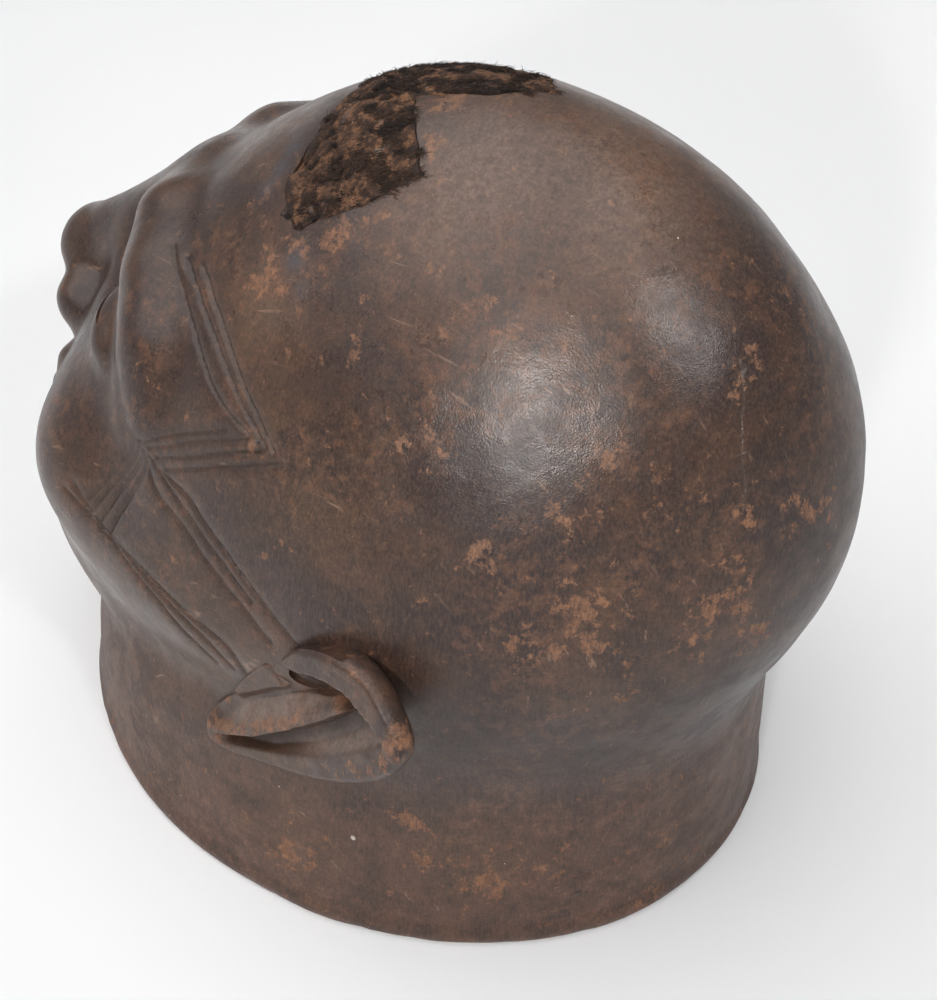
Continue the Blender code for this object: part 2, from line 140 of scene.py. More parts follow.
def head_shape(p):
    """The whole outside of the mask without its ears."""
    body = head_mass(p)
    x = np.abs(p[:, 0])
    q, w = p[:, 1] - CRANIUM_Y, p[:, 2] - CRANIUM_Z
    u = q * UPWARD[1] + w * UPWARD[2]
    f = q * FORWARD[1] + w * FORWARD[2]
    # cheeks, muzzle and chin
    body = blend(body, ellipsoid(x, u, f, (0.053, -0.074, 0.084), (0.027, 0.022, 0.023)), 0.020)
    body = blend(body, ellipsoid(x, u, f, (0.0, -0.118, 0.096), (0.042, 0.028, 0.030)), 0.014)
    body = blend(body, ellipsoid(x, u, f, (0.0, -0.155, 0.090), (0.030, 0.017, 0.025)), 0.018)
    # brow arches over hollow sockets
    arch = ((0.010, -0.015, 0.1145, 0.0044), (0.026, -0.008, 0.1110, 0.0048),
            (0.044, -0.008, 0.1005, 0.0046), (0.058, -0.014, 0.0880, 0.0040),
            (0.068, -0.023, 0.0765, 0.0030))
    for a, b in zip(arch, arch[1:]):
        body = blend(body, rod(x, u, f, a[:3], b[:3], a[3], b[3]), 0.018)
    body = carve(body, ellipsoid(x, u, f, (0.040, -0.035, 0.1270), (0.031, 0.0190, 0.0165)), 0.012)
    # closed lids
    body = blend(body, ellipsoid(x, u, f, (0.040, -0.036, 0.0965), (0.0225, 0.0130, 0.0170)), 0.003)
    # nose
    body = blend(body, rod(x, u, f, (0, -0.006, 0.1120), (0, -0.074, 0.1385), 0.0068, 0.0125), 0.014)
    body = blend(body, ellipsoid(x, u, f, (0, -0.078, 0.1400), (0.0140, 0.0120, 0.0120)), 0.006)
    body = blend(body, ellipsoid(x, u, f, (0.0175, -0.0825, 0.1270), (0.0105, 0.0100, 0.0125)), 0.007)
    body = carve(body, ellipsoid(x, u, f, (0.0095, -0.0950, 0.1340), (0.0048, 0.0048, 0.0060)), 0.003)
    # lips
    lip = ((0.003, 0.0070, 0.1245, 0.0074), (0.018, 0.0062, 0.1225, 0.0066), (0.033, 0.0010, 0.1150, 0.0036))
    for a, b in zip(lip, lip[1:]):
        body = blend(body, rod(x, u, f, (a[0], a[1] - 0.1205, a[2]), (b[0], b[1] - 0.1205, b[2]), a[3], b[3]), 0.0025)
    lip = ((0.000, -0.0085, 0.1225, 0.0082), (0.018, -0.0068, 0.1205, 0.0070), (0.033, -0.0010, 0.1145, 0.0036))
    for a, b in zip(lip, lip[1:]):
        body = blend(body, rod(x, u, f, (a[0], a[1] - 0.1205, a[2]), (b[0], b[1] - 0.1205, b[2]), a[3], b[3]), 0.0025)
    body = carve(body, ellipsoid(x, u, f, (0, -0.1440, 0.1260), (0.024, 0.0060, 0.0090)), 0.008)
    return body


def outermost(field, origin, direction, far=0.20):
    steps = np.linspace(0.02, far, 91)
    inside = np.stack([field(origin + direction * r) < 0.0 for r in steps])
    last = len(steps) - 1 - np.argmax(inside[::-1], axis=0)
    lo, hi = steps[last], steps[np.minimum(last + 1, len(steps) - 1)]
    for _ in range(22):
        mid = 0.5 * (lo + hi)
        neg = field(origin + direction * mid[:, None]) < 0.0
        lo, hi = np.where(neg, mid, lo), np.where(neg, hi, mid)
    return origin + direction * (0.5 * (lo + hi))[:, None]


def gradient(field, p, h=0.0004):
    return np.stack([field(p + np.eye(3)[i] * h) - field(p - np.eye(3)[i] * h)
                     for i in range(3)], 1) / (2 * h)


def normals_of(field, p, h=0.0004):
    g = gradient(field, p, h)
    return g / np.linalg.norm(g, axis=1)[:, None]


def settle(field, p, rounds=3):
    """Moves points onto the surface of the field."""
    for _ in range(rounds):
        g = gradient(field, p)
        p = p - g * (field(p) / np.maximum((g * g).sum(1), 1e-3))[:, None]
    return p


# -------------------------------------------------------------------- noise
def lattice(i, j, k, seed):
    h = (i * 374761393 + j * 668265263 + k * 1442695041 + seed * 974634777) & 0xFFFFFFFF
    h = ((h ^ (h >> 13)) * 1274126177) & 0xFFFFFFFF
    return ((h ^ (h >> 16)) & 0xFFFF) / 32767.5 - 1.0


def grain(p, size, seed=0, octaves=1):
    """Smooth value noise in -1..1 with features of about the given size."""
    total, weight, amp = 0.0, 0.0, 1.0
    for o in range(octaves):
        q = p / size
        i = np.floor(q).astype(np.int64)
        t = q - i
        t = t * t * t * (t * (t * 6 - 15) + 10)
        v = 0.0
        for a in (0, 1):
            wa = t[:, 0] if a else 1 - t[:, 0]
            for b in (0, 1):
                wb = t[:, 1] if b else 1 - t[:, 1]
                for c in (0, 1):
                    wc = t[:, 2] if c else 1 - t[:, 2]
                    v = v + wa * wb * wc * lattice(i[:, 0] + a, i[:, 1] + b, i[:, 2] + c, seed + o)
        total, weight = total + v * amp, weight + amp
        amp, size = amp * 0.5, size * 0.5
    return total / weight


# ------------------------------------------------------- cut lines and cracks
# Bands of parallel scarification lines on the left side, in millimetres.
BANDS = [
    [(76.5, -42.5, 159.6), (76.9, -27.6, 169.2), (76.5, -11.7, 177.5)],
    [(77.8, -38.5, 159.4), (78.0, -19.6, 171.0), (77.1, -2.4, 178.9)],
    [(79.3, -35.4, 157.8), (79.6, -17.0, 168.3), (78.2, 2.2, 177.7)],
    [(80.8, -31.6, 156.3), (80.8, -9.5, 168.5), (79.1, 8.3, 177.0)],
    [(77.3, -0.3, 179.0), (76.2, -5.0, 180.2), (73.5, -13.4, 182.7), (69.9, -20.8, 186.3), (59.9, -34.0, 194.6), (44.9, -50.0, 202.3)],
    [(77.4, 2.5, 179.3), (72.0, -9.3, 186.7), (66.8, -18.0, 192.3), (58.3, -30.2, 198.5), (47.6, -42.9, 202.9)],
    [(77.7, 5.3, 179.4), (72.3, -5.1, 187.4), (65.2, -16.2, 195.3), (56.6, -27.7, 201.8), (49.8, -36.0, 204.9)],
    [(77.8, -42.0, 156.2), (82.2, -36.2, 147.3), (86.3, -23.9, 142.4), (89.7, -12.8, 136.3), (92.8, 1.6, 128.0), (94.2, 10.6, 121.1)],
    [(78.9, -39.0, 155.8), (82.9, -29.3, 150.7), (86.4, -18.7, 145.6), (89.4, -8.0, 139.6), (92.1, 3.7, 132.3)],
    [(79.9, -36.9, 154.5), (83.5, -23.8, 153.1), (86.2, -15.2, 148.5), (89.2, -4.3, 142.3), (91.3, 4.2, 136.8), (93.0, 12.8, 130.6), (94.0, 21.8, 124.4)],
    [(76.1, -46.2, 157.1), (79.3, -55.4, 141.6), (83.8, -64.0, 129.4)],
    [(77.2, -44.0, 156.3), (79.7, -52.7, 141.7), (84.5, -61.9, 127.3)],
    [(78.1, -41.8, 155.4), (80.8, -49.8, 140.8), (85.2, -58.6, 125.4)],
    [(79.2, -39.7, 154.1), (82.0, -46.7, 139.7), (86.2, -54.3, 123.4)],
    [(83.3, -72.3, 129.7), (84.8, -63.6, 125.8), (88.5, -48.1, 118.9), (92.5, -33.6, 112.9), (94.0, -22.6, 105.7), (93.6, -12.0, 97.7)],
    [(84.1, -64.0, 128.4), (86.3, -55.1, 122.2), (90.0, -40.5, 120.2), (93.7, -21.4, 115.1), (94.8, -6.2, 110.3), (94.2, -0.5, 101.0)],
    [(82.5, -69.2, 132.8), (85.3, -59.0, 124.8), (89.2, -44.2, 120.0), (93.2, -27.6, 114.1), (94.6, -13.6, 107.8), (94.0, -5.1, 99.7)],
]
CRACKS = [
    [(21.6, 108.7, 215.4), (25.9, 112.9, 207.1), (30.8, 115.9, 197.8), (34.0, 120.0, 187.0), (35.7, 120.8, 182.5)],
    [(51.4, 105.2, 75.8), (52.5, 104.6, 58.5), (58.7, 101.5, 38.9), (63.5, 99.2, 22.0), (65.6, 99.2, 6.2)],
]


class Lines:
    """Distance to a set of smooth curves that lie on the head."""

    def __init__(self, curves, step=0.0008, shake=0.0):
        points, tangents = [], []
        for n, curve in enumerate(curves):
            pts = np.array(curve) * 0.001
            pts = np.vstack([2 * pts[0] - pts[1], pts, 2 * pts[-1] - pts[-2]])
            run = []
            for i in range(1, len(pts) - 2):
                p0, p1, p2, p3 = pts[i - 1:i + 3]
                m = max(2, int(np.linalg.norm(p2 - p1) / step))
                t = (np.arange(m) / m)[:, None]
                run.append(0.5 * (2 * p1 + (p2 - p0) * t + (2 * p0 - 5 * p1 + 4 * p2 - p3) * t * t
                                  + (3 * p1 - p0 - 3 * p2 + p3) * t ** 3))
            run = settle(head_shape, np.vstack(run + [pts[-2:-1]]))
            if shake:
                side = np.cross(normals_of(head_shape, run), np.gradient(run, axis=0))
                side /= np.linalg.norm(side, axis=1)[:, None]
                run = run + side * (grain(run, 0.004, 40 + n, 3) * shake)[:, None]
            tan = np.gradient(run, axis=0)
            points.append(run)
            tangents.append(tan / np.linalg.norm(tan, axis=1)[:, None])
        self.points, self.tangents = np.vstack(points), np.vstack(tangents)
        self.low, self.high = self.points.min(0) - 0.007, self.points.max(0) + 0.007
        self.tree = KDTree(len(self.points))
        for i, p in enumerate(self.points):
            self.tree.insert(p, i)
        self.tree.balance()
        self.step = step

    def distance(self, p):
        out = np.full(len(p), 0.02)
        near = np.all((p > self.low) & (p < self.high), axis=1)
        for i in np.where(near)[0]:
            _, k, d = self.tree.find(p[i])
            if d < 0.009:
                along = float((p[i] - self.points[k]) @ self.tangents[k])
                along = max(-self.step, min(self.step, along))
                d = math.sqrt(max(d * d - along * along, 0.0))
            out[i] = min(d, 0.02)
        return out


def left_hand(p):
    """The right side repeats the left side's carving, not quite exactly."""
    q = p.copy()
    right = p[:, 0] < 0
    q[:, 0] = np.abs(p[:, 0])
    if right.any():
        q[right, 1] += grain(p[right], 0.030, 71) * 0.0012
        q[right, 2] += grain(p[right], 0.030, 72) * 0.0012 + 0.0008
    return q


bands = Lines(BANDS, 0.0010, 0.00035)
cracks = Lines(CRACKS, 0.0005, 0.0006)


def relief(p):
    """How far the real surface stands off the smooth shape."""
    d = bands.distance(left_hand(p))
    deep = 0.75 + 0.35 * grain(p, 0.012, 5)
    h = -0.00080 * deep * np.exp(-(d / 0.00055) ** 2)
    h -= 0.00030 * np.exp(-(d / 0.0022) ** 2)
    h += 0.00012 * np.exp(-((d - 0.0034) / 0.0010) ** 2)
    c = cracks.distance(p)
    h -= 0.00035 * np.exp(-(c / 0.00026) ** 2) * np.clip(0.7 + 0.8 * grain(p, 0.009, 8), 0.1, 1.0)
    calm = 1.0 - 0.65 * step(-p[:, 1], 0.050, 0.080)
    h += calm * (0.00040 * grain(p, 0.026, 1) + 0.00014 * grain(p, 0.009, 2))
    h += 0.00004 * grain(p, 0.0035, 3)
    # nicks along the rim and a soft lip above it
    low = np.clip(1.0 - p[:, 2] / 0.010, 0.0, 1.0)
    h += 0.0009 * np.exp(-((p[:, 2] - 0.0045) / 0.0030) ** 2)
    h -= low * 0.0010 * np.clip(grain(p, 0.008, 9, 2) - 0.15, 0.0, 1.0)
    return h


# --------------------------------------------------------------- outer mesh
RAY_Y = 0.010
RAY_Z = 0.130
COLUMNS = 250
INNER_COLUMNS = 100


def ray_ring(columns, level, elevation):
    s = np.arange(columns) / columns * 2.0
    s = np.where(s > 1.0, s - 2.0, s)
    phi = np.sign(s) * math.pi * (0.72 * np.abs(s) + 0.28 * s * s)
    ce, se = math.cos(elevation), math.sin(elevation)
    d = np.stack([np.sin(phi) * ce, -np.cos(phi) * ce, np.full_like(phi, se)], 1)
    o = np.tile(np.array([0.0, RAY_Y, level]), (columns, 1))
    return o, d


def refine(verts, tris, want, project, rounds):
    """Splits every edge longer than wanted there, keeping the mesh whole."""
    for _ in range(rounds):
        n, m = len(verts), len(tris)
        e = np.sort(np.concatenate([tris[:, [0, 1]], tris[:, [1, 2]], tris[:, [2, 0]]]), axis=1)
        key, inverse = np.unique(e[:, 0].astype(np.int64) * n + e[:, 1], return_inverse=True)
        a, b = key // n, key % n
        mid = 0.5 * (verts[a] + verts[b])
        split = np.linalg.norm(verts[a] - verts[b], axis=1) > want(mid)
        split &= ~((verts[a, 2] < 1e-6) & (verts[b, 2] < 1e-6))
        if not split.any():
            break
        index = np.full(len(key), -1, np.int64)
        index[split] = n + np.arange(split.sum())
        verts = np.vstack([verts, project(mid[split])])
        m0, m1, m2 = index[inverse[:m]], index[inverse[m:2 * m]], index[inverse[2 * m:]]
        v0, v1, v2 = tris.T
        count = (m0 >= 0).astype(int) + (m1 >= 0) + (m2 >= 0)
        out = [tris[count == 0]]
        full = count == 3
        for quad in ((v0, m0, m2), (m0, v1, m1), (m2, m1, v2), (m0, m1, m2)):
            out.append(np.stack([q[full] for q in quad], 1))
        for r in range(3):
            w0, w1, w2 = (v0, v1, v2)[r], (v0, v1, v2)[(r + 1) % 3], (v0, v1, v2)[(r + 2) % 3]
            k0, k1 = (m0, m1, m2)[r], (m0, m1, m2)[(r + 1) % 3]
            k2 = (m0, m1, m2)[(r + 2) % 3]
            one = (count == 1) & (k0 >= 0)
            out += [np.stack([w0[one], k0[one], w2[one]], 1), np.stack([k0[one], w1[one], w2[one]], 1)]
            two = (count == 2) & (k2 < 0)
            out += [np.stack([k0[two], w1[two], k1[two]], 1), np.stack([w0[two], k0[two], k1[two]], 1),
                    np.stack([w0[two], k1[two], w2[two]], 1)]
        tris = np.vstack(out)
    return verts, tris


def outer_surface():
    heights = [0.0, 0.0012] + list(np.linspace(0.003, RAY_Z, 52))
    rises = list(np.linspace(1.2, 86.0, 70))
    levels = [(h, 0.0) for h in heights] + [(RAY_Z, math.radians(e)) for e in rises]
    rings = []
    for n, (level, elevation) in enumerate(levels):
        o, d = ray_ring(COLUMNS, level, elevation)
        if n == 0 or n % 6 == 0:
            ring = outermost(head_shape, o, d)
        else:
            r = np.linalg.norm(rings[-1] - o0, axis=1)
            lo, hi = r - 0.008, r + 0.008
            good = (head_shape(o + d * lo[:, None]) < 0) & (head_shape(o + d * hi[:, None]) > 0)
            for _ in range(15):
                mid = 0.5 * (lo + hi)
                neg = head_shape(o + d * mid[:, None]) < 0.0
                lo, hi = np.where(neg, mid, lo), np.where(neg, hi, mid)
            ring = o + d * (0.5 * (lo + hi))[:, None]
            if not good.all():
                bad = ~good
                ring[bad] = outermost(head_shape, o[bad], d[bad])
        o0 = o
        rings.append(ring)
    top = outermost(head_shape, np.array([[0.0, RAY_Y, RAY_Z]]), np.array([[0.0, 0.0, 1.0]]))
    verts = np.vstack(rings + [top])
    verts[:COLUMNS, 2] = 0.0
    i = np.arange(COLUMNS)
    j = (i + 1) % COLUMNS
    tris = []
    for n in range(len(levels) - 1):
        a, b = n * COLUMNS, (n + 1) * COLUMNS
        tris.append(np.stack([a + i, a + j, b + j], 1))
        tris.append(np.stack([a + i, b + j, b + i], 1))
    last = (len(levels) - 1) * COLUMNS
    tris.append(np.stack([last + i, last + j, np.full(COLUMNS, len(verts) - 1)], 1))
    return verts, np.vstack(tris)


def wanted_edge(p):
    """Longest edge allowed at p: short at cut lines, cracks and the face."""
    want = np.full(len(p), 0.0045)
    q, w = p[:, 1] - CRANIUM_Y, p[:, 2] - CRANIUM_Z
    u = q * UPWARD[1] + w * UPWARD[2]
    f = q * FORWARD[1] + w * FORWARD[2]
    x = np.abs(p[:, 0])
    face = (f > 0.088) & (u < 0.004) & (u > -0.155) & (x < 0.066)
    want[face] = 0.0019
    d = bands.distance(left_hand(p))
    want = np.where(d < 0.0022, 0.00100, want)
    c = cracks.distance(p)
    want = np.where(c < 0.0012, 0.00060, want)
    return want


def shell_mesh():
    """Outside, cavity and rim as one closed mesh."""
    verts, tris = outer_surface()
    verts, tris = refine(verts, tris, wanted_edge, lambda p: settle(head_shape, p, 2), 4)
    normal = normals_of(head_shape, verts)
    at_rim = verts[:, 2] < 1e-6
    offset = relief(verts)
    normal[at_rim, 2] = 0.0
    verts = verts + normal * offset[:, None]
    verts[at_rim, :2] *= 0.990
    second = (~at_rim) & (verts[:, 2] < 0.0016)
    verts[second, :2] *= 0.997
    verts[at_rim, 2] = 0.0

    inner = []
    levels = [(h, 0.0) for h in np.linspace(0.0, RAY_Z, 16)]
    levels += [(RAY_Z, math.radians(e)) for e in np.linspace(6, 83, 15)]
    for n, (level, elevation) in enumerate(levels):
        o, d = ray_ring(INNER_COLUMNS, level, elevation)
        ring = outermost(head_mass, o, d)
        wall = COLLAR_WALL + (WALL - COLLAR_WALL) * min(1.0, n / 8.0)
        normal = normals_of(head_mass, ring)
        ring = ring - normal * (wall + 0.0006 * grain(ring, 0.016, 21))[:, None]
        if n == 0:
            ring[:, 2] = 0.0
        inner.append(ring)
    roof = outermost(head_mass, np.array([[0.0, RAY_Y, RAY_Z]]), np.array([[0.0, 0.0, 1.0]])) - [[0, 0, WALL]]
    base = len(verts)
    verts = np.vstack([verts] + inner + [roof])
    i = np.arange(INNER_COLUMNS)
    j = (i + 1) % INNER_COLUMNS
    more = []
    for n in range(len(levels) - 1):
        a, b = base + n * INNER_COLUMNS, base + (n + 1) * INNER_COLUMNS
        more.append(np.stack([a + j, a + i, b + i], 1))
        more.append(np.stack([a + j, b + i, b + j], 1))
    last = base + (len(levels) - 1) * INNER_COLUMNS
    more.append(np.stack([last + j, last + i, np.full(INNER_COLUMNS, len(verts) - 1)], 1))
    # the rim's flat underside joins the two rings by angle
    a, b, strip = 0, 0, []
    ratio = COLUMNS / INNER_COLUMNS
    while a < COLUMNS or b < INNER_COLUMNS:
        if b >= INNER_COLUMNS or (a < COLUMNS and a + 0.5 <= (b + 0.5) * ratio):
            strip.append(((a + 1) % COLUMNS, a % COLUMNS, base + b % INNER_COLUMNS))
            a += 1
        else:
            strip.append((base + b % INNER_COLUMNS, base + (b + 1) % INNER_COLUMNS, a % COLUMNS))
            b += 1
    tris = np.vstack([tris] + more + [np.array(strip)])
    return verts, tris


# --------------------------------------------------------------------- ears
EAR_ROOT = np.array([0.094, -0.021, 0.061])
EAR_LONG = np.array([0.0, 0.585, 0.811])
EAR_OUT = np.array([0.938, -0.281, 0.203])
EAR_OUT = EAR_OUT / np.linalg.norm(EAR_OUT)
EAR_BACK = np.cross(EAR_LONG, EAR_OUT)
EAR_CENTRE = (0.056, 0.015)
EAR_OUTLINE = [(0, 1), (2, 8), (23, 19), (48, 31), (69, 37), (86, 39), (97, 36), (101, 27),
               (101, 17), (97, 8), (89, 1), (78, -3), (66, -3), (54, -6), (33, -4), (10, -4)]


def closed_curve(points, count):
    pts = np.array(points, float)
    n = len(pts)
    out = []
    for k in range(count):
        t = k * n / count
        i, t = int(t), t - int(t)
        p0, p1, p2, p3 = (pts[(i + d) % n] for d in (-1, 0, 1, 2))
        out.append(0.5 * (2 * p1 + (p2 - p0) * t + (2 * p0 - 5 * p1 + 4 * p2 - p3) * t * t
                          + (3 * p1 - p0 - 3 * p2 + p3) * t ** 3))
    return np.array(out)


def step(v, a, b):
    t = np.clip((v - a) / (b - a), 0.0, 1.0)
    return t * t * (3 - 2 * t)


def ear_relief(a, b, s):
    """Carved face of the ear in millimetres; s is the distance from its edge."""
    top = np.interp(a, (4, 9, 32, 54, 69, 80, 87), (2, 1, 0, 4, 9, 13, 18.5))
    ridge = np.interp(a, (4, 10, 30, 53, 71, 87), (3, 4.6, 11, 15, 17.2, 18.8))
    low = np.interp(a, (4, 10, 30, 53, 71, 87), (4, 6.2, 13, 17.2, 19.2, 19.6))
    groove = np.interp(a, (4, 11, 30, 54, 74, 87), (5, 8, 16, 21.5, 24, 23.5))
    rim = np.interp(a, (4, 11, 42, 62, 87), (7, 10, 22, 28, 31.5))
    curl = np.interp(b, (-3, 0, 3, 6, 10, 16, 25, 31), (68, 70, 74, 79, 83.5, 87.5, 91, 91))
    tip = step(a, 4, 12)
    # upper facet of the leaf rises to its ridge, then drops into the groove
    leaf = -2.2 + 4.8 * step(b, top - 1.0, ridge)
    under = np.interp(np.clip((b - ridge) / np.maximum(low - ridge, 0.1), 0, 1), (0, 1), (2.6, -4.4))
    floor = -4.4 + 1.2 * np.clip((b - low) / np.maximum(groove - low, 0.1), 0, 1)
    rise = -3.2 + 3.2 * np.clip((b - groove) / np.maximum(rim - groove, 0.1), 0, 1)
    h = np.where(b < top, -2.0, np.where(b < ridge, leaf, np.where(b < low, under,
                 np.where(b < groove, floor, np.where(b < rim, rise, 0.0)))))
    # hollow above the leaf, under the rolled helix
    hollow = step(a, 54, 63) * (1 - step(b, top - 1.5, top + 1.0)) * step(b, -3.5, 0.5)
    h = h - 3.9 * hollow
    # front flap that runs into the cheek
    flap = step(a, 24, 36) * (1 - step(a, 58, 64)) * (1 - step(b, top - 2.5, top + 0.5))
    h = h * (1 - flap) + flap * (1.2 + 2.2 * np.exp(-((b + 4.5) / 2.6) ** 2))
    # the notch in front of the helix
    notch = np.exp(-((a - 65) / 2.4) ** 2) * (1 - step(b, -1, 4))
    h = h - 3.4 * notch
    # rolled helix round top and back
    helix = step(a, curl, curl + 2.2)
    h = h * (1 - helix) + helix * (2.4 - 1.1 * step(b, 22, 36) + 2.6 * (1 - step(b, 1, 15)))
    h = h + (1 - helix) * step(b, rim - 1.6, rim + 1.4) * (0.3 + 0.8 * step(a, 40, 90))
    h = h * tip + (1 - tip) * 0.3
    # the outer edge is rounded off
    h = h - 1.3 * np.clip(1 - s / 1.5, 0, 1) ** 2
    return h


def ear_mesh(side, around=190, rings=42):
    rim = closed_curve(EAR_OUTLINE, around)
    rim = rim + 0.35 * np.stack([grain(np.pad(rim, ((0, 0), (0, 1))) * 0.001, 0.012, 31 + k) for k in (0, 1)], 1)
    centre = np.array(EAR_CENTRE) * 1000
    dense = closed_curve(EAR_OUTLINE, 400)
    verts = []

    def place(pts, h):
        p = (EAR_ROOT + np.outer(pts[:, 0], EAR_LONG) * 0.001 + np.outer(pts[:, 1], EAR_BACK) * 0.001
             + np.outer(h, EAR_OUT) * 0.001)
        p[:, 0] *= side
        verts.append(p)
    for k in range(1, rings + 1):
        t = (k / rings) ** 0.80
        pts = centre + (rim - centre) * t
        s = np.min(np.linalg.norm(pts[:, None] - dense[None], axis=2), axis=1) * min(1.0, (1 - t) * 40)
        h = ear_relief(pts[:, 0], pts[:, 1], s)
        h += 0.16 * grain(np.pad(pts, ((0, 0), (0, 1))) * 0.001, 0.0045, 33, 2)
        place(pts, h)
    thick = EAR_THICK * 1000
    for t, depth in ((1.004, 2.2), (1.002, 3.4), (0.99, 4.8), (0.965, 6.0), (0.92, thick), (0.75, thick), (0.4, thick)):
        place(centre + (rim - centre) * t, np.full(around, -depth))
    loops = len(verts)
    verts = np.vstack(verts)
    one = EAR_ROOT + EAR_LONG * centre[0] * 0.001 + EAR_BACK * centre[1] * 0.001
    h0 = ear_relief(np.array([centre[0]]), np.array([centre[1]]), np.array([9.0]))[0]
    ends = np.array([one + EAR_OUT * h0 * 0.001, one - EAR_OUT * thick * 0.001])
    ends[:, 0] *= side
    verts = np.vstack([verts, ends])
    i = np.arange(around)
    j = (i + 1) % around
    first, last = len(verts) - 2, len(verts) - 1
    tris = [np.stack([np.full(around, first), i, j], 1),
            np.stack([np.full(around, last), (loops - 1) * around + j, (loops - 1) * around + i], 1)]
    for n in range(loops - 1):
        a, b = n * around, (n + 1) * around
        tris.append(np.stack([a + i, b + i, b + j], 1))
        tris.append(np.stack([a + i, b + j, a + j], 1))
    return verts, np.vstack(tris)


def ear_scoop(side):
    """Tool for the dark hollow under the rolled top of the ear."""
    bm = bmesh.new()
    bmesh.ops.create_icosphere(bm, subdivisions=4, radius=1.0)
    turn = math.atan2(13.0, 26.0)
    for v in bm.verts:
        a, b, h = v.co.x * 11.5, v.co.y * 5.2, v.co.z * 4.6
        a, b = 73.5 + a * math.cos(turn) - b * math.sin(turn), 6.2 + a * math.sin(turn) + b * math.cos(turn)
        p = EAR_ROOT + (EAR_LONG * a + EAR_BACK * b + EAR_OUT * (h - 1.2)) * 0.001
        v.co = (p[0] * side, p[1], p[2])
    bmesh.ops.recalc_face_normals(bm, faces=bm.faces)
    return bm


# --------------------------------------------------------------------- hair
HAIR_FRONT = [(-0.66, -0.130), (-0.53, -0.225), (-0.16, -0.190), (0.063, -0.181),
              (0.425, -0.225), (0.558, -0.130)]
HAIR_BACK = [(-0.66, -0.095), (-0.54, 0.103), (-0.41, 0.229), (-0.205, 0.058), (0.077, 0.058),
             (0.3125, 0.229), (0.437, 0.103), (0.558, -0.095)]
STRIP_FROM, STRIP_TO = 0.058, 0.375
STRIP_SLANT = 0.075
STRIP_FAR = [(0.058, -0.205), (0.375, -0.200)]
STRIP_NEAR = [(0.058, 0.077), (0.241, 0.028), (0.375, -0.056)]


def along_line(points, x):
    pts = np.array(points)
    return np.interp(x, pts[:, 0], pts[:, 1])


def waver(x, seed, size=0.080, amount=0.0140):
    x = np.asarray(x, float)
    return amount * grain(np.stack([x, np.zeros_like(x), np.zeros_like(x)], 1), size, seed, 4)


def hair_edges(x, inset):
    shift = np.linspace(-inset, inset, 9)[:, None]
    front = np.max(along_line(HAIR_FRONT, x[None, :] + shift), axis=0) + inset + waver(x, 51)
    back = np.min(along_line(HAIR_BACK, x[None, :] + shift), axis=0) - inset + waver(x, 52)
    return front, back


def densify(values, k):
    v = np.asarray(values, float)
    t = np.arange((len(v) - 1) * k + 1) / k
    return np.interp(t, np.arange(len(v)), v)


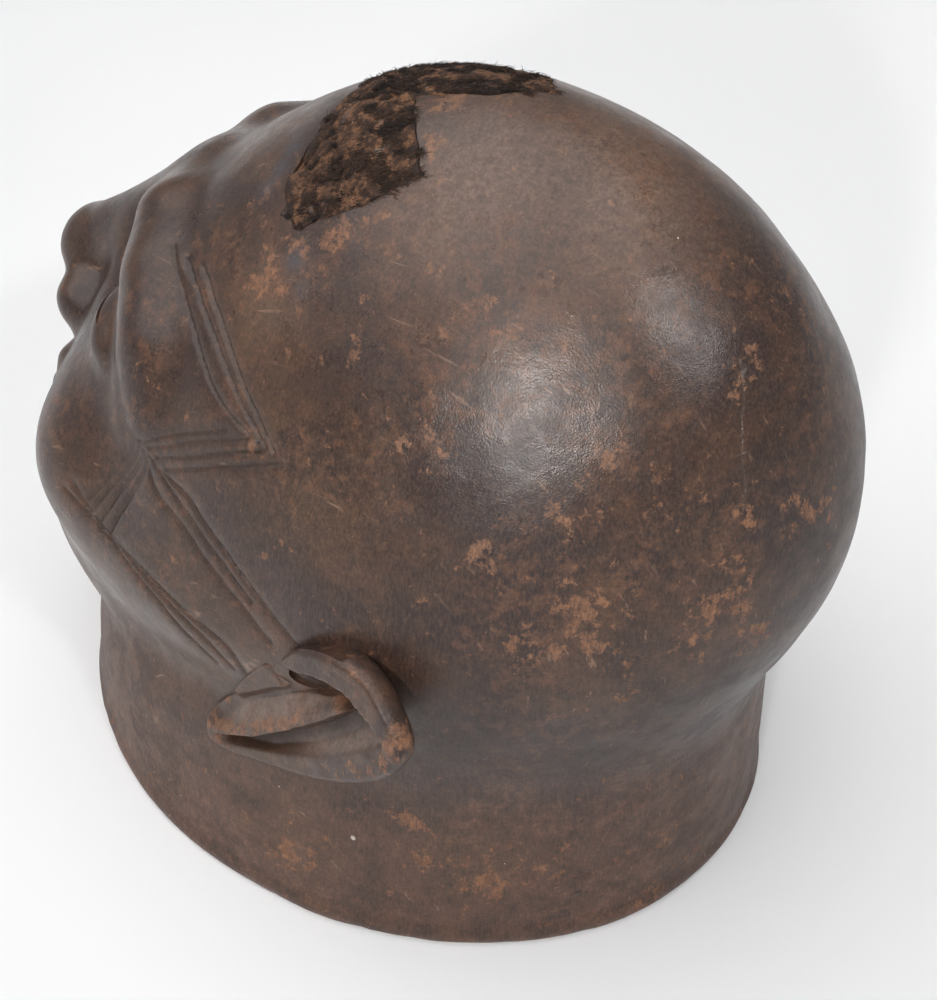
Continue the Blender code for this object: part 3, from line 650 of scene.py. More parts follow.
def hair_slab(inset, below, above, rows, strip_rows, k, rough=0.0):
    """Curved plate over the haired area, between two offsets of the wood."""
    far = densify([-0.66 + inset, -0.60, -0.53, -0.47, -0.41, -0.34, -0.27, -0.205 + inset], k)[:-1]
    share = np.linspace(0.0, 1.0, 5 * k + 1)
    middle = (-0.205 + inset) + (0.077 + 0.205 - 2.2 * inset) * share
    near = densify([middle[-1], 0.135, 0.195, 0.255, 0.3125, 0.370, 0.425, 0.470, 0.515, 0.558 - inset], k)[1:]
    x = np.concatenate([far, middle, near])
    first, last = len(far), len(far) + len(share) - 1
    front, back = hair_edges(x, inset)
    back = np.maximum(back, front + 0.004)
    start = back[first:last + 1]
    sheet = [[(x[i], front[i] + (back[i] - front[i]) * r / rows) for i in range(len(x))]
             for r in range(rows + 1)]
    strip = []
    for r in range(1, strip_rows + 1):
        y = STRIP_FROM + (STRIP_TO - inset - STRIP_FROM) * r / strip_rows
        fade = min(1.0, r / 3.0)
        left = along_line(STRIP_FAR, y) + inset + waver([y], 53)[0] * fade
        right = along_line(STRIP_NEAR, y) - 1.2 * inset + waver([y], 54)[0] * fade
        lean = (start - STRIP_FROM) * (1.0 - r / strip_rows)
        slant = STRIP_SLANT * (r / strip_rows) ** 2
        strip.append([(left + (right - left) * t, y + lean[n] - slant * (1 - t)) for n, t in enumerate(share)])
    bm = bmesh.new()

    def lift(grid, offset, roughness):
        pts = np.array(grid).reshape(-1, 2)
        d = np.column_stack([pts, np.ones(len(pts))])
        d /= np.linalg.norm(d, axis=1)[:, None]
        o = np.tile(np.array([0.0, 0.0, CRANIUM_Z]), (len(pts), 1))
        p = outermost(head_mass, o, d, 0.16)
        rise = np.full(len(pts), offset)
        if roughness:
            rise += roughness * (0.9 * grain(p, 0.0040, 61) + 0.6 * grain(p, 0.0016, 62))
        p = p + d * rise[:, None]
        made = [bm.verts.new(tuple(v)) for v in p]
        n = len(grid[0])
        return [made[r * n:(r + 1) * n] for r in range(len(grid))]

    sides = []
    for offset, roughness in ((below, 0.0), (above, rough)):
        band = lift(sheet, offset, roughness)
        tail = [band[-1][first:last + 1]] + lift(strip, offset, roughness)
        edge = (band[0] + [r[-1] for r in band[1:]] + band[-1][last:-1][::-1]
                + [r[-1] for r in tail[1:]] + tail[-1][:-1][::-1]
                + [r[0] for r in tail[1:-1]][::-1] + band[-1][1:first + 1][::-1]
                + [r[0] for r in band[1:]][::-1])
        sides.append((band, tail, edge))
        for grid in (band, tail):
            for a, b in zip(grid, grid[1:]):
                for i in range(len(a) - 1):
                    quad = (a[i], a[i + 1], b[i + 1], b[i])
                    bm.faces.new(quad if offset == above else quad[::-1])
    low, high = sides[0][2], sides[1][2]
    for i in range(len(low)):
        j = (i + 1) % len(low)
        bm.faces.new((low[i], low[j], high[j], high[i]))
    bmesh.ops.recalc_face_normals(bm, faces=bm.faces)
    return bm


def in_hair(x, y, inset):
    front, back = hair_edges(x, inset)
    band = (x > -0.66 + inset) & (x < 0.558 - inset) & (y > front) & (y < back)
    tail = (y >= STRIP_FROM - 0.01) & (y < STRIP_TO - inset - STRIP_SLANT * np.clip((-0.056 - x) / 0.144, 0, 1)) & (x > along_line(STRIP_FAR, y) + inset) \
        & (x < along_line(STRIP_NEAR, y) - inset)
    return band | tail


def on_crown(x, y):
    d = np.column_stack([x, y, np.ones(len(x))])
    d /= np.linalg.norm(d, axis=1)[:, None]
    o = np.tile(np.array([0.0, 0.0, CRANIUM_Z]), (len(x), 1))
    return outermost(head_mass, o, d, 0.16)


def tufts(seed, clumps, strands):
    """Short combed strands in clumps, as closed tapered hairs."""
    r = np.random.default_rng(seed)
    x, y = r.uniform(-0.66, 0.56, clumps * 14), r.uniform(-0.24, 0.38, clumps * 14)
    keep = in_hair(x, y, 0.005) & (y < STRIP_TO - 0.022)
    x, y = x[keep], y[keep]
    centre = on_crown(x, y)
    # bare patches show the wax; the crown's ridge is thickly haired
    cover = grain(centre * [2.1, 0.65, 1.2], 0.0047, 91) + 0.35 * grain(centre, 0.0024, 92)
    ridge = np.exp(-((x - 0.02) / 0.20) ** 2) * 0.50
    keep = cover + ridge > -0.52 + r.normal(0, 0.12, len(x))
    centre, x = centre[keep], x[keep]
    lie = np.stack([-0.60 * np.clip(x / 0.35, -1, 1), np.full(len(x), 0.86)], 1)
    lie /= np.linalg.norm(lie, axis=1)[:, None]
    chosen = []
    for n in range(len(x)):
        d = centre[chosen, :2] - centre[n, :2]
        along, across = d @ lie[n], d[:, 0] * lie[n, 1] - d[:, 1] * lie[n, 0]
        if ((along / 0.0036) ** 2 + (across / 0.0017) ** 2 > 1.0).all():
            chosen.append(n)
        if len(chosen) == clumps:
            break
    centre, x = centre[chosen], x[chosen]
    normal = normals_of(head_mass, centre)
    comb = np.stack([-0.60 * np.clip(x / 0.35, -1, 1), np.full(len(x), 0.86), np.zeros(len(x))], 1)
    comb += 0.16 * np.stack([grain(centre, 0.014, 93), grain(centre, 0.014, 94), np.zeros(len(x))], 1)
    comb -= normal * (comb * normal).sum(1)[:, None]
    comb /= np.linalg.norm(comb, axis=1)[:, None]
    turn = r.normal(0, 0.20, len(x))
    side = np.cross(normal, comb)
    comb, side = (comb * np.cos(turn)[:, None] + side * np.sin(turn)[:, None],
                  side * np.cos(turn)[:, None] - comb * np.sin(turn)[:, None])
    n = len(x)
    size = r.uniform(0.75, 1.35, n)
    tint = r.uniform(0, 1, n)

    c = np.repeat(np.arange(n), strands)
    m = len(c)
    N, D, S = normal[c], comb[c], side[c]
    root = (centre[c] + D * (r.uniform(-0.0030, 0.0022, m) * size[c])[:, None]
            + S * (r.normal(0, 0.00048, m) * size[c])[:, None])
    stray = r.random(m) < 0.06
    ang = r.normal(0, 0.16, m) + np.where(stray, r.normal(0, 0.9, m), 0.0)
    D = D * np.cos(ang)[:, None] + S * np.sin(ang)[:, None]
    length = r.uniform(0.0020, 0.0036, m) * size[c]
    up = np.radians(r.uniform(16, 46, m) + np.where(stray, 18, 0))
    bend = np.radians(r.uniform(26, 56, m))
    radius = r.uniform(0.00009, 0.00014, m)
    base = root - N * 0.0008
    centres, radii = [base], [radius]
    angle = up
    for taper in (0.85, 0.0):
        centres.append(centres[-1] + (D * np.cos(angle)[:, None] + N * np.sin(angle)[:, None]) * (length / 2)[:, None])
        radii.append(radius * taper)
        angle = angle - bend
    verts = np.empty((m, 7, 3))
    across = np.cross(D, N)
    for ring in range(2):
        for q in range(3):
            a = 2 * math.pi * q / 3
            verts[:, ring * 3 + q] = centres[ring] + (across * math.cos(a) + N * math.sin(a)) * radii[ring][:, None]
    verts[:, 6] = centres[2]
    faces = [(0, 2, 1)]
    for q in range(3):
        a, b = q, (q + 1) % 3
        faces += [(a, b, b + 3), (a, b + 3, a + 3)]
    faces += [(3, 4, 6), (4, 5, 6), (5, 3, 6)]
    faces = np.array(faces)
    tris = (faces[None] + (np.arange(m) * 7)[:, None, None]).reshape(-1, 3)
    shade = np.repeat(np.clip(tint[c] + r.normal(0, 0.12, m), 0, 1), 7)
    return verts.reshape(-1, 3), tris, shade


# -------------------------------------------------------------------- slits
def slit_cutter(centre_x, u, width, sag, f_low, f_high, count=33):
    s = np.linspace(-1.0, 1.0, count)
    half = SLIT_HEIGHT * 0.5 * np.sqrt(np.clip(1.0 - s * s * 0.94, 0.02, 1.0))
    xs = centre_x + s * width / 2
    mid = u + sag * s * s
    ring = list(zip(xs, mid + half)) + list(zip(xs[::-1], (mid - half)[::-1]))
    bm = bmesh.new()
    ends = []
    for f in (f_low, f_high):
        ends.append([bm.verts.new(tuple(CRANIUM + np.array([x, 0, 0]) + UPWARD * v + FORWARD * f))
                     for x, v in ring])
    n = len(ring)
    for i in range(n):
        j = (i + 1) % n
        bm.faces.new((ends[0][i], ends[0][j], ends[1][j], ends[1][i]))
    bm.faces.new(ends[0][::-1])
    bm.faces.new(ends[1])
    bmesh.ops.recalc_face_normals(bm, faces=bm.faces)
    return bm


# ----------------------------------------------------------- mesh to object
def link(name, mesh):
    obj = bpy.data.objects.new(name, mesh)
    bpy.context.scene.collection.objects.link(obj)
    return obj


def from_arrays(name, verts, tris):
    verts = verts + np.array([0.0, SHIFT_Y, 0.0])
    mesh = bpy.data.meshes.new(name)
    mesh.vertices.add(len(verts))
    mesh.vertices.foreach_set("co", verts.astype(np.float32).ravel())
    mesh.loops.add(len(tris) * 3)
    mesh.loops.foreach_set("vertex_index", tris.astype(np.int32).ravel())
    mesh.polygons.add(len(tris))
    mesh.polygons.foreach_set("loop_start", (np.arange(len(tris)) * 3).astype(np.int32))
    mesh.update(calc_edges=True)
    mesh.validate()
    return link(name, mesh)


def from_bmesh(name, bm):
    for v in bm.verts:
        v.co.y += SHIFT_Y
    mesh = bpy.data.meshes.new(name)
    bm.to_mesh(mesh)
    bm.free()
    return link(name, mesh)


def outward(obj):
    bm = bmesh.new()
    bm.from_mesh(obj.data)
    bmesh.ops.recalc_face_normals(bm, faces=bm.faces)
    bm.to_mesh(obj.data)
    bm.free()


def combined(obj, tools):
    """Joins and cuts with the tools, then removes them."""
    for tool, operation in tools:
        outward(tool)
        mod = obj.modifiers.new(tool.name, "BOOLEAN")
        mod.operation = operation
        mod.object = tool
        mod.solver = "MANIFOLD"
    deps = bpy.context.evaluated_depsgraph_get()
    mesh = bpy.data.meshes.new_from_object(obj.evaluated_get(deps))
    obj.modifiers.clear()
    obj.data = mesh
    for tool, _ in tools:
        bpy.data.objects.remove(tool, do_unlink=True)
    return obj


def coords(mesh):
    co = np.empty(len(mesh.vertices) * 3, np.float32)
    mesh.vertices.foreach_get("co", co)
    return co.reshape(-1, 3).astype(float)


def put_marks(mesh, name, rgba):
    layer = mesh.attributes.new(name, "FLOAT_COLOR", "POINT")
    layer.data.foreach_set("color", np.clip(rgba, 0, 1).astype(np.float32).ravel())


def bulge(mesh, smooth=2):
    """Convexity of every vertex: positive on edges, negative in grooves."""
    co = coords(mesh)
    no = np.empty(len(co) * 3, np.float32)
    mesh.vertices.foreach_get("normal", no)
    no = no.reshape(-1, 3)
    e = np.empty(len(mesh.edges) * 2, np.int32)
    mesh.edges.foreach_get("vertices", e)
    a, b = e.reshape(-1, 2).T
    d = co[b] - co[a]
    length = np.maximum(np.linalg.norm(d, axis=1), 1e-6)
    total, count = np.zeros(len(co)), np.zeros(len(co))
    for v, other, sign in ((a, b, 1.0), (b, a, -1.0)):
        np.add.at(total, v, -sign * (d * no[v]).sum(1) / length)
        np.add.at(count, v, 1.0)
    value = total / np.maximum(count, 1)
    for _ in range(smooth):
        near = np.zeros(len(co))
        np.add.at(near, a, value[b])
        np.add.at(near, b, value[a])
        value = 0.4 * value + 0.6 * near / np.maximum(count, 1)
    return value


# -------------------------------------------------------------------- zones
# Rubbed places on the wood: x, y, z and radius in millimetres, strength.
WORN = [
    (47, 60, 222, 8, 1.0), (50, 49, 221, 7, 1.0), (46.5, 67, 219.5, 6, 0.9), (60, 20, 210, 7, 0.8),
    (68, 51, 194, 7, 0.8), (63, 84, 183, 8, 0.5), (65, 99, 154, 11, 1.0), (70, 89, 159, 9, 0.9),
    (77, 82, 145, 7, 0.8), (47, 107, 185, 8, 1.0), (19, 113, 213, 7, 0.9), (19, 134, 174, 9, 0.9),
    (37, 121, 180, 6, 0.8), (44, 123, 157, 10, 1.0), (39, 129, 142, 9, 1.0), (50, 92, 197, 6, 0.8),
    (75, 68, 170, 7, 0.6), (76, 84, 149, 8, 0.9), (52, 118, 146, 8, 0.8), (69, 40, 196, 6, 0.7),
    (54, 0, 215, 7, 0.8), (88, 9, 155, 5, 0.8), (79, -35, 158, 4, 0.8), (78, -1, 177, 4, 1.0),
    (80, 30, 176, 6, 0.7), (42, 58, 227, 5, 0.8), (51, -11, 214, 7, 0.9), (87, 59, 40, 8, 0.7),
    (70, 89, 37, 9, 0.7), (40, 115, 35, 8, 0.7), (103, 22, 6, 7, 0.8), (27, 122, 12, 8, 0.6),
    (-40, 60, 225, 9, 0.9), (-66, 70, 190, 8, 0.9), (-60, 104, 150, 10, 0.9), (-30, 128, 170, 8, 0.8),
    (-80, 40, 160, 8, 0.7), (-20, 112, 205, 7, 0.8), (-84, -10, 165, 6, 0.8), (-88, 50, 60, 8, 0.7),
    (2, 33, 254, 6, 0.9), (13.5, 17.6, 250.5, 5, 1.0), (21, 19, 247.6, 5, 0.9), (44, 5, 227, 5, 1.0), (36, -25, 223, 5, 1.0),
    (30, -26, 226, 4, 0.8), (39, 15.5, 234, 5, 0.9), (46, -5, 222, 5, 1.0), (7.6, 18.4, 252, 5, 1.0),
    (54, 0, 214, 12, 0.7), (58, 12, 212, 10, 0.7), (48, -15, 213, 9, 0.8), (76, -83, 12, 10, 0.8), (39, 118, 6, 9, 0.8),
    (86, 55, 58, 10, 0.7), (81, 74, 33, 12, 0.8), (97, -24, 34, 12, 0.6), (100, 18, 24, 12, 0.7), (61, 110, 129, 9, 0.6),
    (0, 128, 60, 9, 0.7),
]
OLIVE = [(92, -20, 100, 24, 0.9), (86, -52, 108, 20, 0.8), (94, 10, 76, 22, 0.7), (60, -15, 206, 16, 0.9), (76, 4, 188, 16, 0.9), (84, 16, 166, 16, 0.8), (80, -28, 172, 12, 0.6),
         (88, -30, 140, 15, 0.7), (74, 32, 190, 14, 0.6), (97, 20, 30, 24, 0.7), (80, 70, 45, 24, 0.6),
         (-70, 0, 190, 22, 0.8), (-88, -20, 140, 18, 0.7), (-90, 40, 40, 30, 0.6), (0, 120, 40, 26, 0.6)]
# Painted shade: darker nape, lower back and lower sides where less light falls; x, y, z and radius in millimetres,
# strength.
SHADE_ZONES = [(50, 112, 118, 36, 0.9), (84, 70, 118, 30, 0.8), (10, 135, 165, 36, 0.8), (93, -10, 116, 26, 0.4),
        (-50, 112, 118, 36, 0.9), (-84, 70, 118, 30, 0.8), (-93, -10, 116, 26, 0.4), (0, 125, 95, 30, 0.7)]
SMEAR = [(17, -25, 234, 3.2, 0.9), (22, -24, 232, 3.2, 1.0), (28, -24, 229, 3.4, 1.0), (33, -25, 225, 3.4, 0.9),
         (49, -5, 219, 3.4, 0.9), (53, 1, 214, 2.6, 0.8), (38, 6, 229, 2.5, 0.6)]
# Painted light: lighter grey-brown where the crown and a patch of brow face the light; x, y, z and radius in
# millimetres, strength.
PAINTED_LIGHT_ZONES = [(26, 37, 245, 24, 0.8), (12, 74, 244, 24, 0.8), (7, 32, 253, 20, 0.6), (0, 60, 250, 26, 0.7),
          (-26, 40, 245, 24, 0.7), (60, -10, 212, 12, 0.5)]


def zone(p, spots, stretch=1.0):
    out = np.zeros(len(p))
    for x, y, z, r, s in spots:
        d2 = ((p - np.array([x, y, z]) * 0.001) ** 2).sum(1) / (r * 0.001 * stretch) ** 2
        out = np.maximum(out, s * np.exp(-d2))
    return out


def ear_plane(p):
    q = p.copy()
    q[:, 0] = np.abs(q[:, 0])
    q = (q - EAR_ROOT) * 1000
    return q @ EAR_LONG, q @ EAR_BACK, q @ EAR_OUT


# ---------------------------------------------------------------- materials
class Graph:
    """Short names for the shader nodes used here."""

    def __init__(self, name):
        self.mat = bpy.data.materials.new(name)
        self.mat.use_nodes = True
        self.tree = self.mat.node_tree
        self.tree.nodes.clear()
        self.out = self.new("ShaderNodeOutputMaterial")
        self.bsdf = self.new("ShaderNodeBsdfPrincipled")
        self.tree.links.new(self.bsdf.outputs[0], self.out.inputs[0])
        self.where = self.new("ShaderNodeTexCoord").outputs["Object"]

    def new(self, kind, **props):
        node = self.tree.nodes.new(kind)
        for key, value in props.items():
            setattr(node, key, value)
        return node

    def put(self, socket, value):
        if isinstance(value, bpy.types.NodeSocket):
            self.tree.links.new(value, socket)
        elif isinstance(value, tuple) and len(value) == 3 and socket.type == "RGBA":
            socket.default_value = (*value, 1.0)
        else:
            socket.default_value = value

    def noise(self, scale, detail=4.0, rough=0.55, distort=0.0, where=None, colour=False):
        n = self.new("ShaderNodeTexNoise")
        self.put(n.inputs["Vector"], where or self.where)
        for key, value in (("Scale", scale), ("Detail", detail), ("Roughness", rough), ("Distortion", distort)):
            n.inputs[key].default_value = value
        return n.outputs["Color" if colour else "Fac"]

    def cells(self, scale, feature="F1", where=None, randomness=1.0):
        n = self.new("ShaderNodeTexVoronoi", feature=feature)
        self.put(n.inputs["Vector"], where or self.where)
        n.inputs["Scale"].default_value = scale
        n.inputs["Randomness"].default_value = randomness
        return n

    def stretched(self, scale, rotation=(0.0, 0.0, 0.0)):
        n = self.new("ShaderNodeMapping")
        self.put(n.inputs["Vector"], self.where)
        n.inputs["Scale"].default_value = scale
        n.inputs["Rotation"].default_value = rotation
        return n.outputs[0]

    def moved(self, amount, scale):
        n = self.new("ShaderNodeVectorMath", operation="MULTIPLY_ADD")
        self.put(n.inputs[0], self.noise(scale, 1.0, 0.6, colour=True))
        n.inputs[1].default_value = (amount, amount, amount)
        self.put(n.inputs[2], self.where)
        return n.outputs[0]

    def math(self, op, a, b=0.0, c=None, clamp=False):
        n = self.new("ShaderNodeMath", operation=op, use_clamp=clamp)
        self.put(n.inputs[0], a)
        self.put(n.inputs[1], b)
        if c is not None:
            self.put(n.inputs[2], c)
        return n.outputs[0]

    def fit(self, value, low, high, to_low=0.0, to_high=1.0):
        n = self.new("ShaderNodeMapRange", interpolation_type="SMOOTHSTEP")
        self.put(n.inputs[0], value)
        for i, v in enumerate((low, high, to_low, to_high)):
            self.put(n.inputs[i + 1], v)
        return n.outputs[0]

    def mix(self, factor, a, b, kind="MIX"):
        n = self.new("ShaderNodeMix", data_type="RGBA", blend_type=kind)
        self.put(n.inputs[0], factor)
        self.put(n.inputs[6], a)
        self.put(n.inputs[7], b)
        return n.outputs[2]

    def marks(self, name):
        n = self.new("ShaderNodeAttribute", attribute_name=name)
        s = self.new("ShaderNodeSeparateColor")
        self.put(s.inputs[0], n.outputs["Color"])
        return s.outputs[0], s.outputs[1], s.outputs[2]

    def bump(self, height, distance, strength=1.0, normal=None):
        n = self.new("ShaderNodeBump")
        n.inputs["Strength"].default_value = strength
        n.inputs["Distance"].default_value = distance
        self.put(n.inputs["Height"], height)
        if normal is not None:
            self.put(n.inputs["Normal"], normal)
        return n.outputs[0]


def srgb(r, g, b):
    return tuple(((v / 255 + 0.055) / 1.055) ** 2.4 if v > 10 else v / 255 / 12.92 for v in (r, g, b))


def wood_material():
    g = Graph("patinated_wood")
    dirt_and_shade, worn, edge = g.marks("marks")
    olive, smear, inside = g.marks("zones")
    crack, painted_shade, painted_light = g.marks("spots")
    warped = g.moved(0.010, 26.0)

    broad = g.fit(g.noise(21.0, 4.0, 0.64, where=warped), 0.42, 0.59)
    middle = g.fit(g.noise(75.0, 4.0, 0.68, where=warped), 0.39, 0.62)
    small = g.fit(g.noise(380.0, 4.0, 0.72), 0.32, 0.70)
    fibre = g.fit(g.noise(1.0, 3.0, 0.7, where=g.stretched((1500.0, 1500.0, 190.0), (0.10, 0.05, 0.0))), 0.32, 0.70)

    colour = g.mix(broad, srgb(41, 29, 30), srgb(84, 59, 43))
    low = g.new("ShaderNodeSeparateXYZ")
    g.put(low.inputs[0], g.where)
    low = g.fit(low.outputs["Z"], 0.030, 0.105, 0.62, 0.0)
    colour = g.mix(low, colour, srgb(104, 66, 43))
    colour = g.mix(g.math("MULTIPLY", middle, 0.68), colour, srgb(38, 27, 27))
    colour = g.mix(g.math("MULTIPLY", olive, g.fit(middle, 0.1, 0.9, 0.30, 0.78)), colour, srgb(92, 68, 45))
    # painted light: the crown and the ear's upward facets lightened to grey-brown
    colour = g.mix(g.math("MULTIPLY", painted_light, 0.70), colour, srgb(142, 116, 100))
    russet = g.math("MULTIPLY", g.fit(g.noise(230.0, 4.0, 0.7), 0.44, 0.64), g.fit(g.noise(29.0, 3.0, 0.6), 0.42, 0.60))
    colour = g.mix(g.math("MULTIPLY", russet, 0.70), colour, srgb(116, 79, 57))
    colour = g.mix(g.math("MULTIPLY", small, 0.50), colour, srgb(32, 23, 22))
    colour = g.mix(g.math("MULTIPLY", fibre, 0.32), colour, srgb(116, 89, 72))
    grit = g.fit(g.noise(950.0, 2.0, 0.7), 0.34, 0.66)
    colour = g.mix(g.math("MULTIPLY", grit, 0.42), colour, srgb(44, 32, 29))

    # painted shade over the nape, lower back and lower sides
    colour = g.mix(g.math("MULTIPLY", painted_shade, 0.56), colour, srgb(28, 19, 18))
    scratch = g.fit(g.noise(1.0, 3.0, 0.6, where=g.stretched((760.0, 52.0, 120.0), (0.3, 0.5, 0.9))), 0.655, 0.72)
    scratch = g.math("MULTIPLY", scratch, g.fit(broad, 0.2, 0.9, 0.20, 0.70))
    colour = g.mix(scratch, colour, srgb(128, 100, 82))

    # rubbed places where the wood's own colour shows through
    ragged = g.noise(190.0, 5.0, 0.78, where=warped)
    islands = g.fit(g.noise(48.0, 2.0, 0.6, where=warped), 0.36, 0.62, 0.25, 1.0)
    reach = g.math("MULTIPLY_ADD", g.math("MULTIPLY", worn, islands), 0.20, ragged)
    rubbed = g.fit(reach, 0.600, 0.690)
    rim_wear = g.fit(g.math("MULTIPLY_ADD", edge, 0.30, g.math("MULTIPLY", ragged, 0.80)), 0.50, 0.74)
    bare = g.math("MAXIMUM", rubbed, rim_wear)
    raw = g.mix(small, srgb(148, 104, 74), srgb(116, 80, 58))
    colour = g.mix(g.math("MULTIPLY", bare, g.fit(fibre, 0.0, 1.0, 0.42, 0.82)), colour, raw)

    # dirt in the cut lines, painted shade in concave creases and in the ear's deep hollows, smears of grey wax, the
    # crack
    colour = g.mix(g.math("MULTIPLY", dirt_and_shade, 0.50), colour, srgb(32, 26, 25))
    colour = g.mix(g.math("MULTIPLY", smear, g.fit(middle, 0.0, 1.0, 0.85, 0.40)), colour, srgb(70, 70, 76))
    colour = g.mix(g.math("MULTIPLY", crack, 0.60), colour, srgb(110, 92, 78))
    # pale specks of dust
    dots = g.cells(88.0)
    few = g.math("LESS_THAN", g.math("FRACT", g.math("MULTIPLY", dots.outputs["Color"], 7.31)), 0.38)
    speck = g.math("MULTIPLY", g.math("LESS_THAN", dots.outputs["Distance"], 0.022), few)
    spot = g.new("ShaderNodeVectorMath", operation="DISTANCE")
    g.put(spot.inputs[0], g.where)
    spot.inputs[1].default_value = (0.0943, 0.0353 + SHIFT_Y, 0.0429)
    spot = g.fit(g.math("MULTIPLY_ADD", small, 0.0004, spot.outputs["Value"]), 0.0008, 0.0012, 1.0, 0.0)
    speck = g.math("MAXIMUM", speck, spot)
    colour = g.mix(g.math("MULTIPLY", speck, 0.85), colour, srgb(196, 184, 170))
    # the hollow keeps its raw chiselled wood, darkened by handling
    raw_in = g.mix(g.fit(g.noise(1.0, 4.0, 0.7, where=g.stretched((260.0, 260.0, 34.0))), 0.32, 0.68),
                   srgb(104, 74, 52), srgb(142, 106, 76))
    raw_in = g.mix(g.math("MULTIPLY", broad, 0.6), raw_in, srgb(72, 54, 42))
    colour = g.mix(inside, colour, raw_in)
    g.put(g.bsdf.inputs["Base Color"], colour)

    rough = g.math("MULTIPLY_ADD", middle, 0.09, 0.27)
    rough = g.math("MULTIPLY_ADD", low, 0.34, rough)
    rough = g.math("MULTIPLY_ADD", painted_shade, 0.16, rough)
    rough = g.math("MULTIPLY_ADD", bare, 0.16, rough)
    rough = g.math("MULTIPLY_ADD", inside, 0.34, rough)
    rough = g.math("MULTIPLY_ADD", dirt_and_shade, 0.16, rough, clamp=True)
    g.put(g.bsdf.inputs["Roughness"], rough)
    g.bsdf.inputs["Specular IOR Level"].default_value = 0.47
    g.bsdf.inputs["Sheen Weight"].default_value = 0.0
    g.bsdf.inputs["Sheen Roughness"].default_value = 0.55
    g.bsdf.inputs["Sheen Tint"].default_value = (0.82, 0.80, 0.82, 1.0)

    fine = g.bump(g.noise(1700.0, 2.0, 0.70), 0.00012, 0.62)
    fine = g.bump(g.noise(260.0, 1.0, 0.60), 0.00022, 0.40, fine)
    g.put(g.bsdf.inputs["Normal"], fine)
    return g.mat


def wax_material():
    g = Graph("hair_wax_bed")
    warped = g.moved(0.004, 90.0)
    border, _, _ = g.marks("marks")
    lumps = g.fit(g.noise(260.0, 7.0, 0.7, where=warped), 0.36, 0.64)
    stain = g.fit(g.noise(290.0, 5.0, 0.70, where=warped), 0.42, 0.58)
    streak = g.fit(g.noise(1.0, 5.0, 0.7, where=g.stretched((900.0, 180.0, 900.0), (0.0, 0.0, 0.45))), 0.35, 0.66)
    colour = g.mix(lumps, srgb(92, 63, 47), srgb(148, 108, 78))
    colour = g.mix(g.math("MULTIPLY", streak, 0.50), colour, srgb(104, 72, 52))
    colour = g.mix(g.math("MULTIPLY", stain, 0.86), colour, srgb(48, 35, 29))
    colour = g.mix(g.fit(g.noise(170.0, 3.0), 0.63, 0.70, 0.0, 0.50), colour, srgb(122, 116, 112))
    dots = g.cells(420.0)
    white = g.math("MULTIPLY", g.math("LESS_THAN", dots.outputs["Distance"], 0.16),
                   g.fit(g.noise(210.0, 3.0), 0.60, 0.64))
    colour = g.mix(g.math("MULTIPLY", white, 0.8), colour, srgb(214, 204, 190))
    colour = g.mix(g.math("MULTIPLY", border, g.fit(lumps, 0.2, 0.8, 0.85, 0.15)), colour, srgb(48, 40, 38))
    g.put(g.bsdf.inputs["Base Color"], colour)
    g.put(g.bsdf.inputs["Roughness"], g.math("MULTIPLY_ADD", lumps, 0.2, 0.66))
    g.bsdf.inputs["Specular IOR Level"].default_value = 0.30
    rough = g.bump(g.noise(800.0, 5.0, 0.78), 0.0007, 1.0)
    rough = g.bump(streak, 0.0003, 0.8, rough)
    g.put(g.bsdf.inputs["Normal"], rough)
    return g.mat


def hair_material():
    g = Graph("dark_hair")
    shade, _, _ = g.marks("marks")
    tone = g.math("MULTIPLY_ADD", g.noise(300.0, 3.0), 0.5, g.math("MULTIPLY", shade, 0.6))
    colour = g.mix(g.fit(tone, 0.25, 0.85), srgb(26, 19, 17), srgb(66, 47, 36))
    colour = g.mix(g.fit(g.noise(900.0, 2.0), 0.62, 0.75, 0.0, 0.5), colour, srgb(96, 74, 56))
    g.put(g.bsdf.inputs["Base Color"], colour)
    g.put(g.bsdf.inputs["Roughness"], g.fit(g.noise(500.0, 2.0), 0.3, 0.7, 0.52, 0.70))
    g.bsdf.inputs["Specular IOR Level"].default_value = 0.35
    g.put(g.bsdf.inputs["Normal"], g.bump(g.noise(4000.0, 2.0), 0.00004, 0.5))
    return g.mat


def floor_material():
    g = Graph("pale_floor")
    tone = g.fit(g.noise(2.2, 3.0, 0.5), 0.3, 0.7)
    colour = g.mix(tone, (0.862, 0.863, 0.868), (0.882, 0.882, 0.885))
    g.put(g.bsdf.inputs["Base Color"], colour)
    g.bsdf.inputs["Roughness"].default_value = 0.75
    g.bsdf.inputs["Specular IOR Level"].default_value = 0.25
    return g.mat


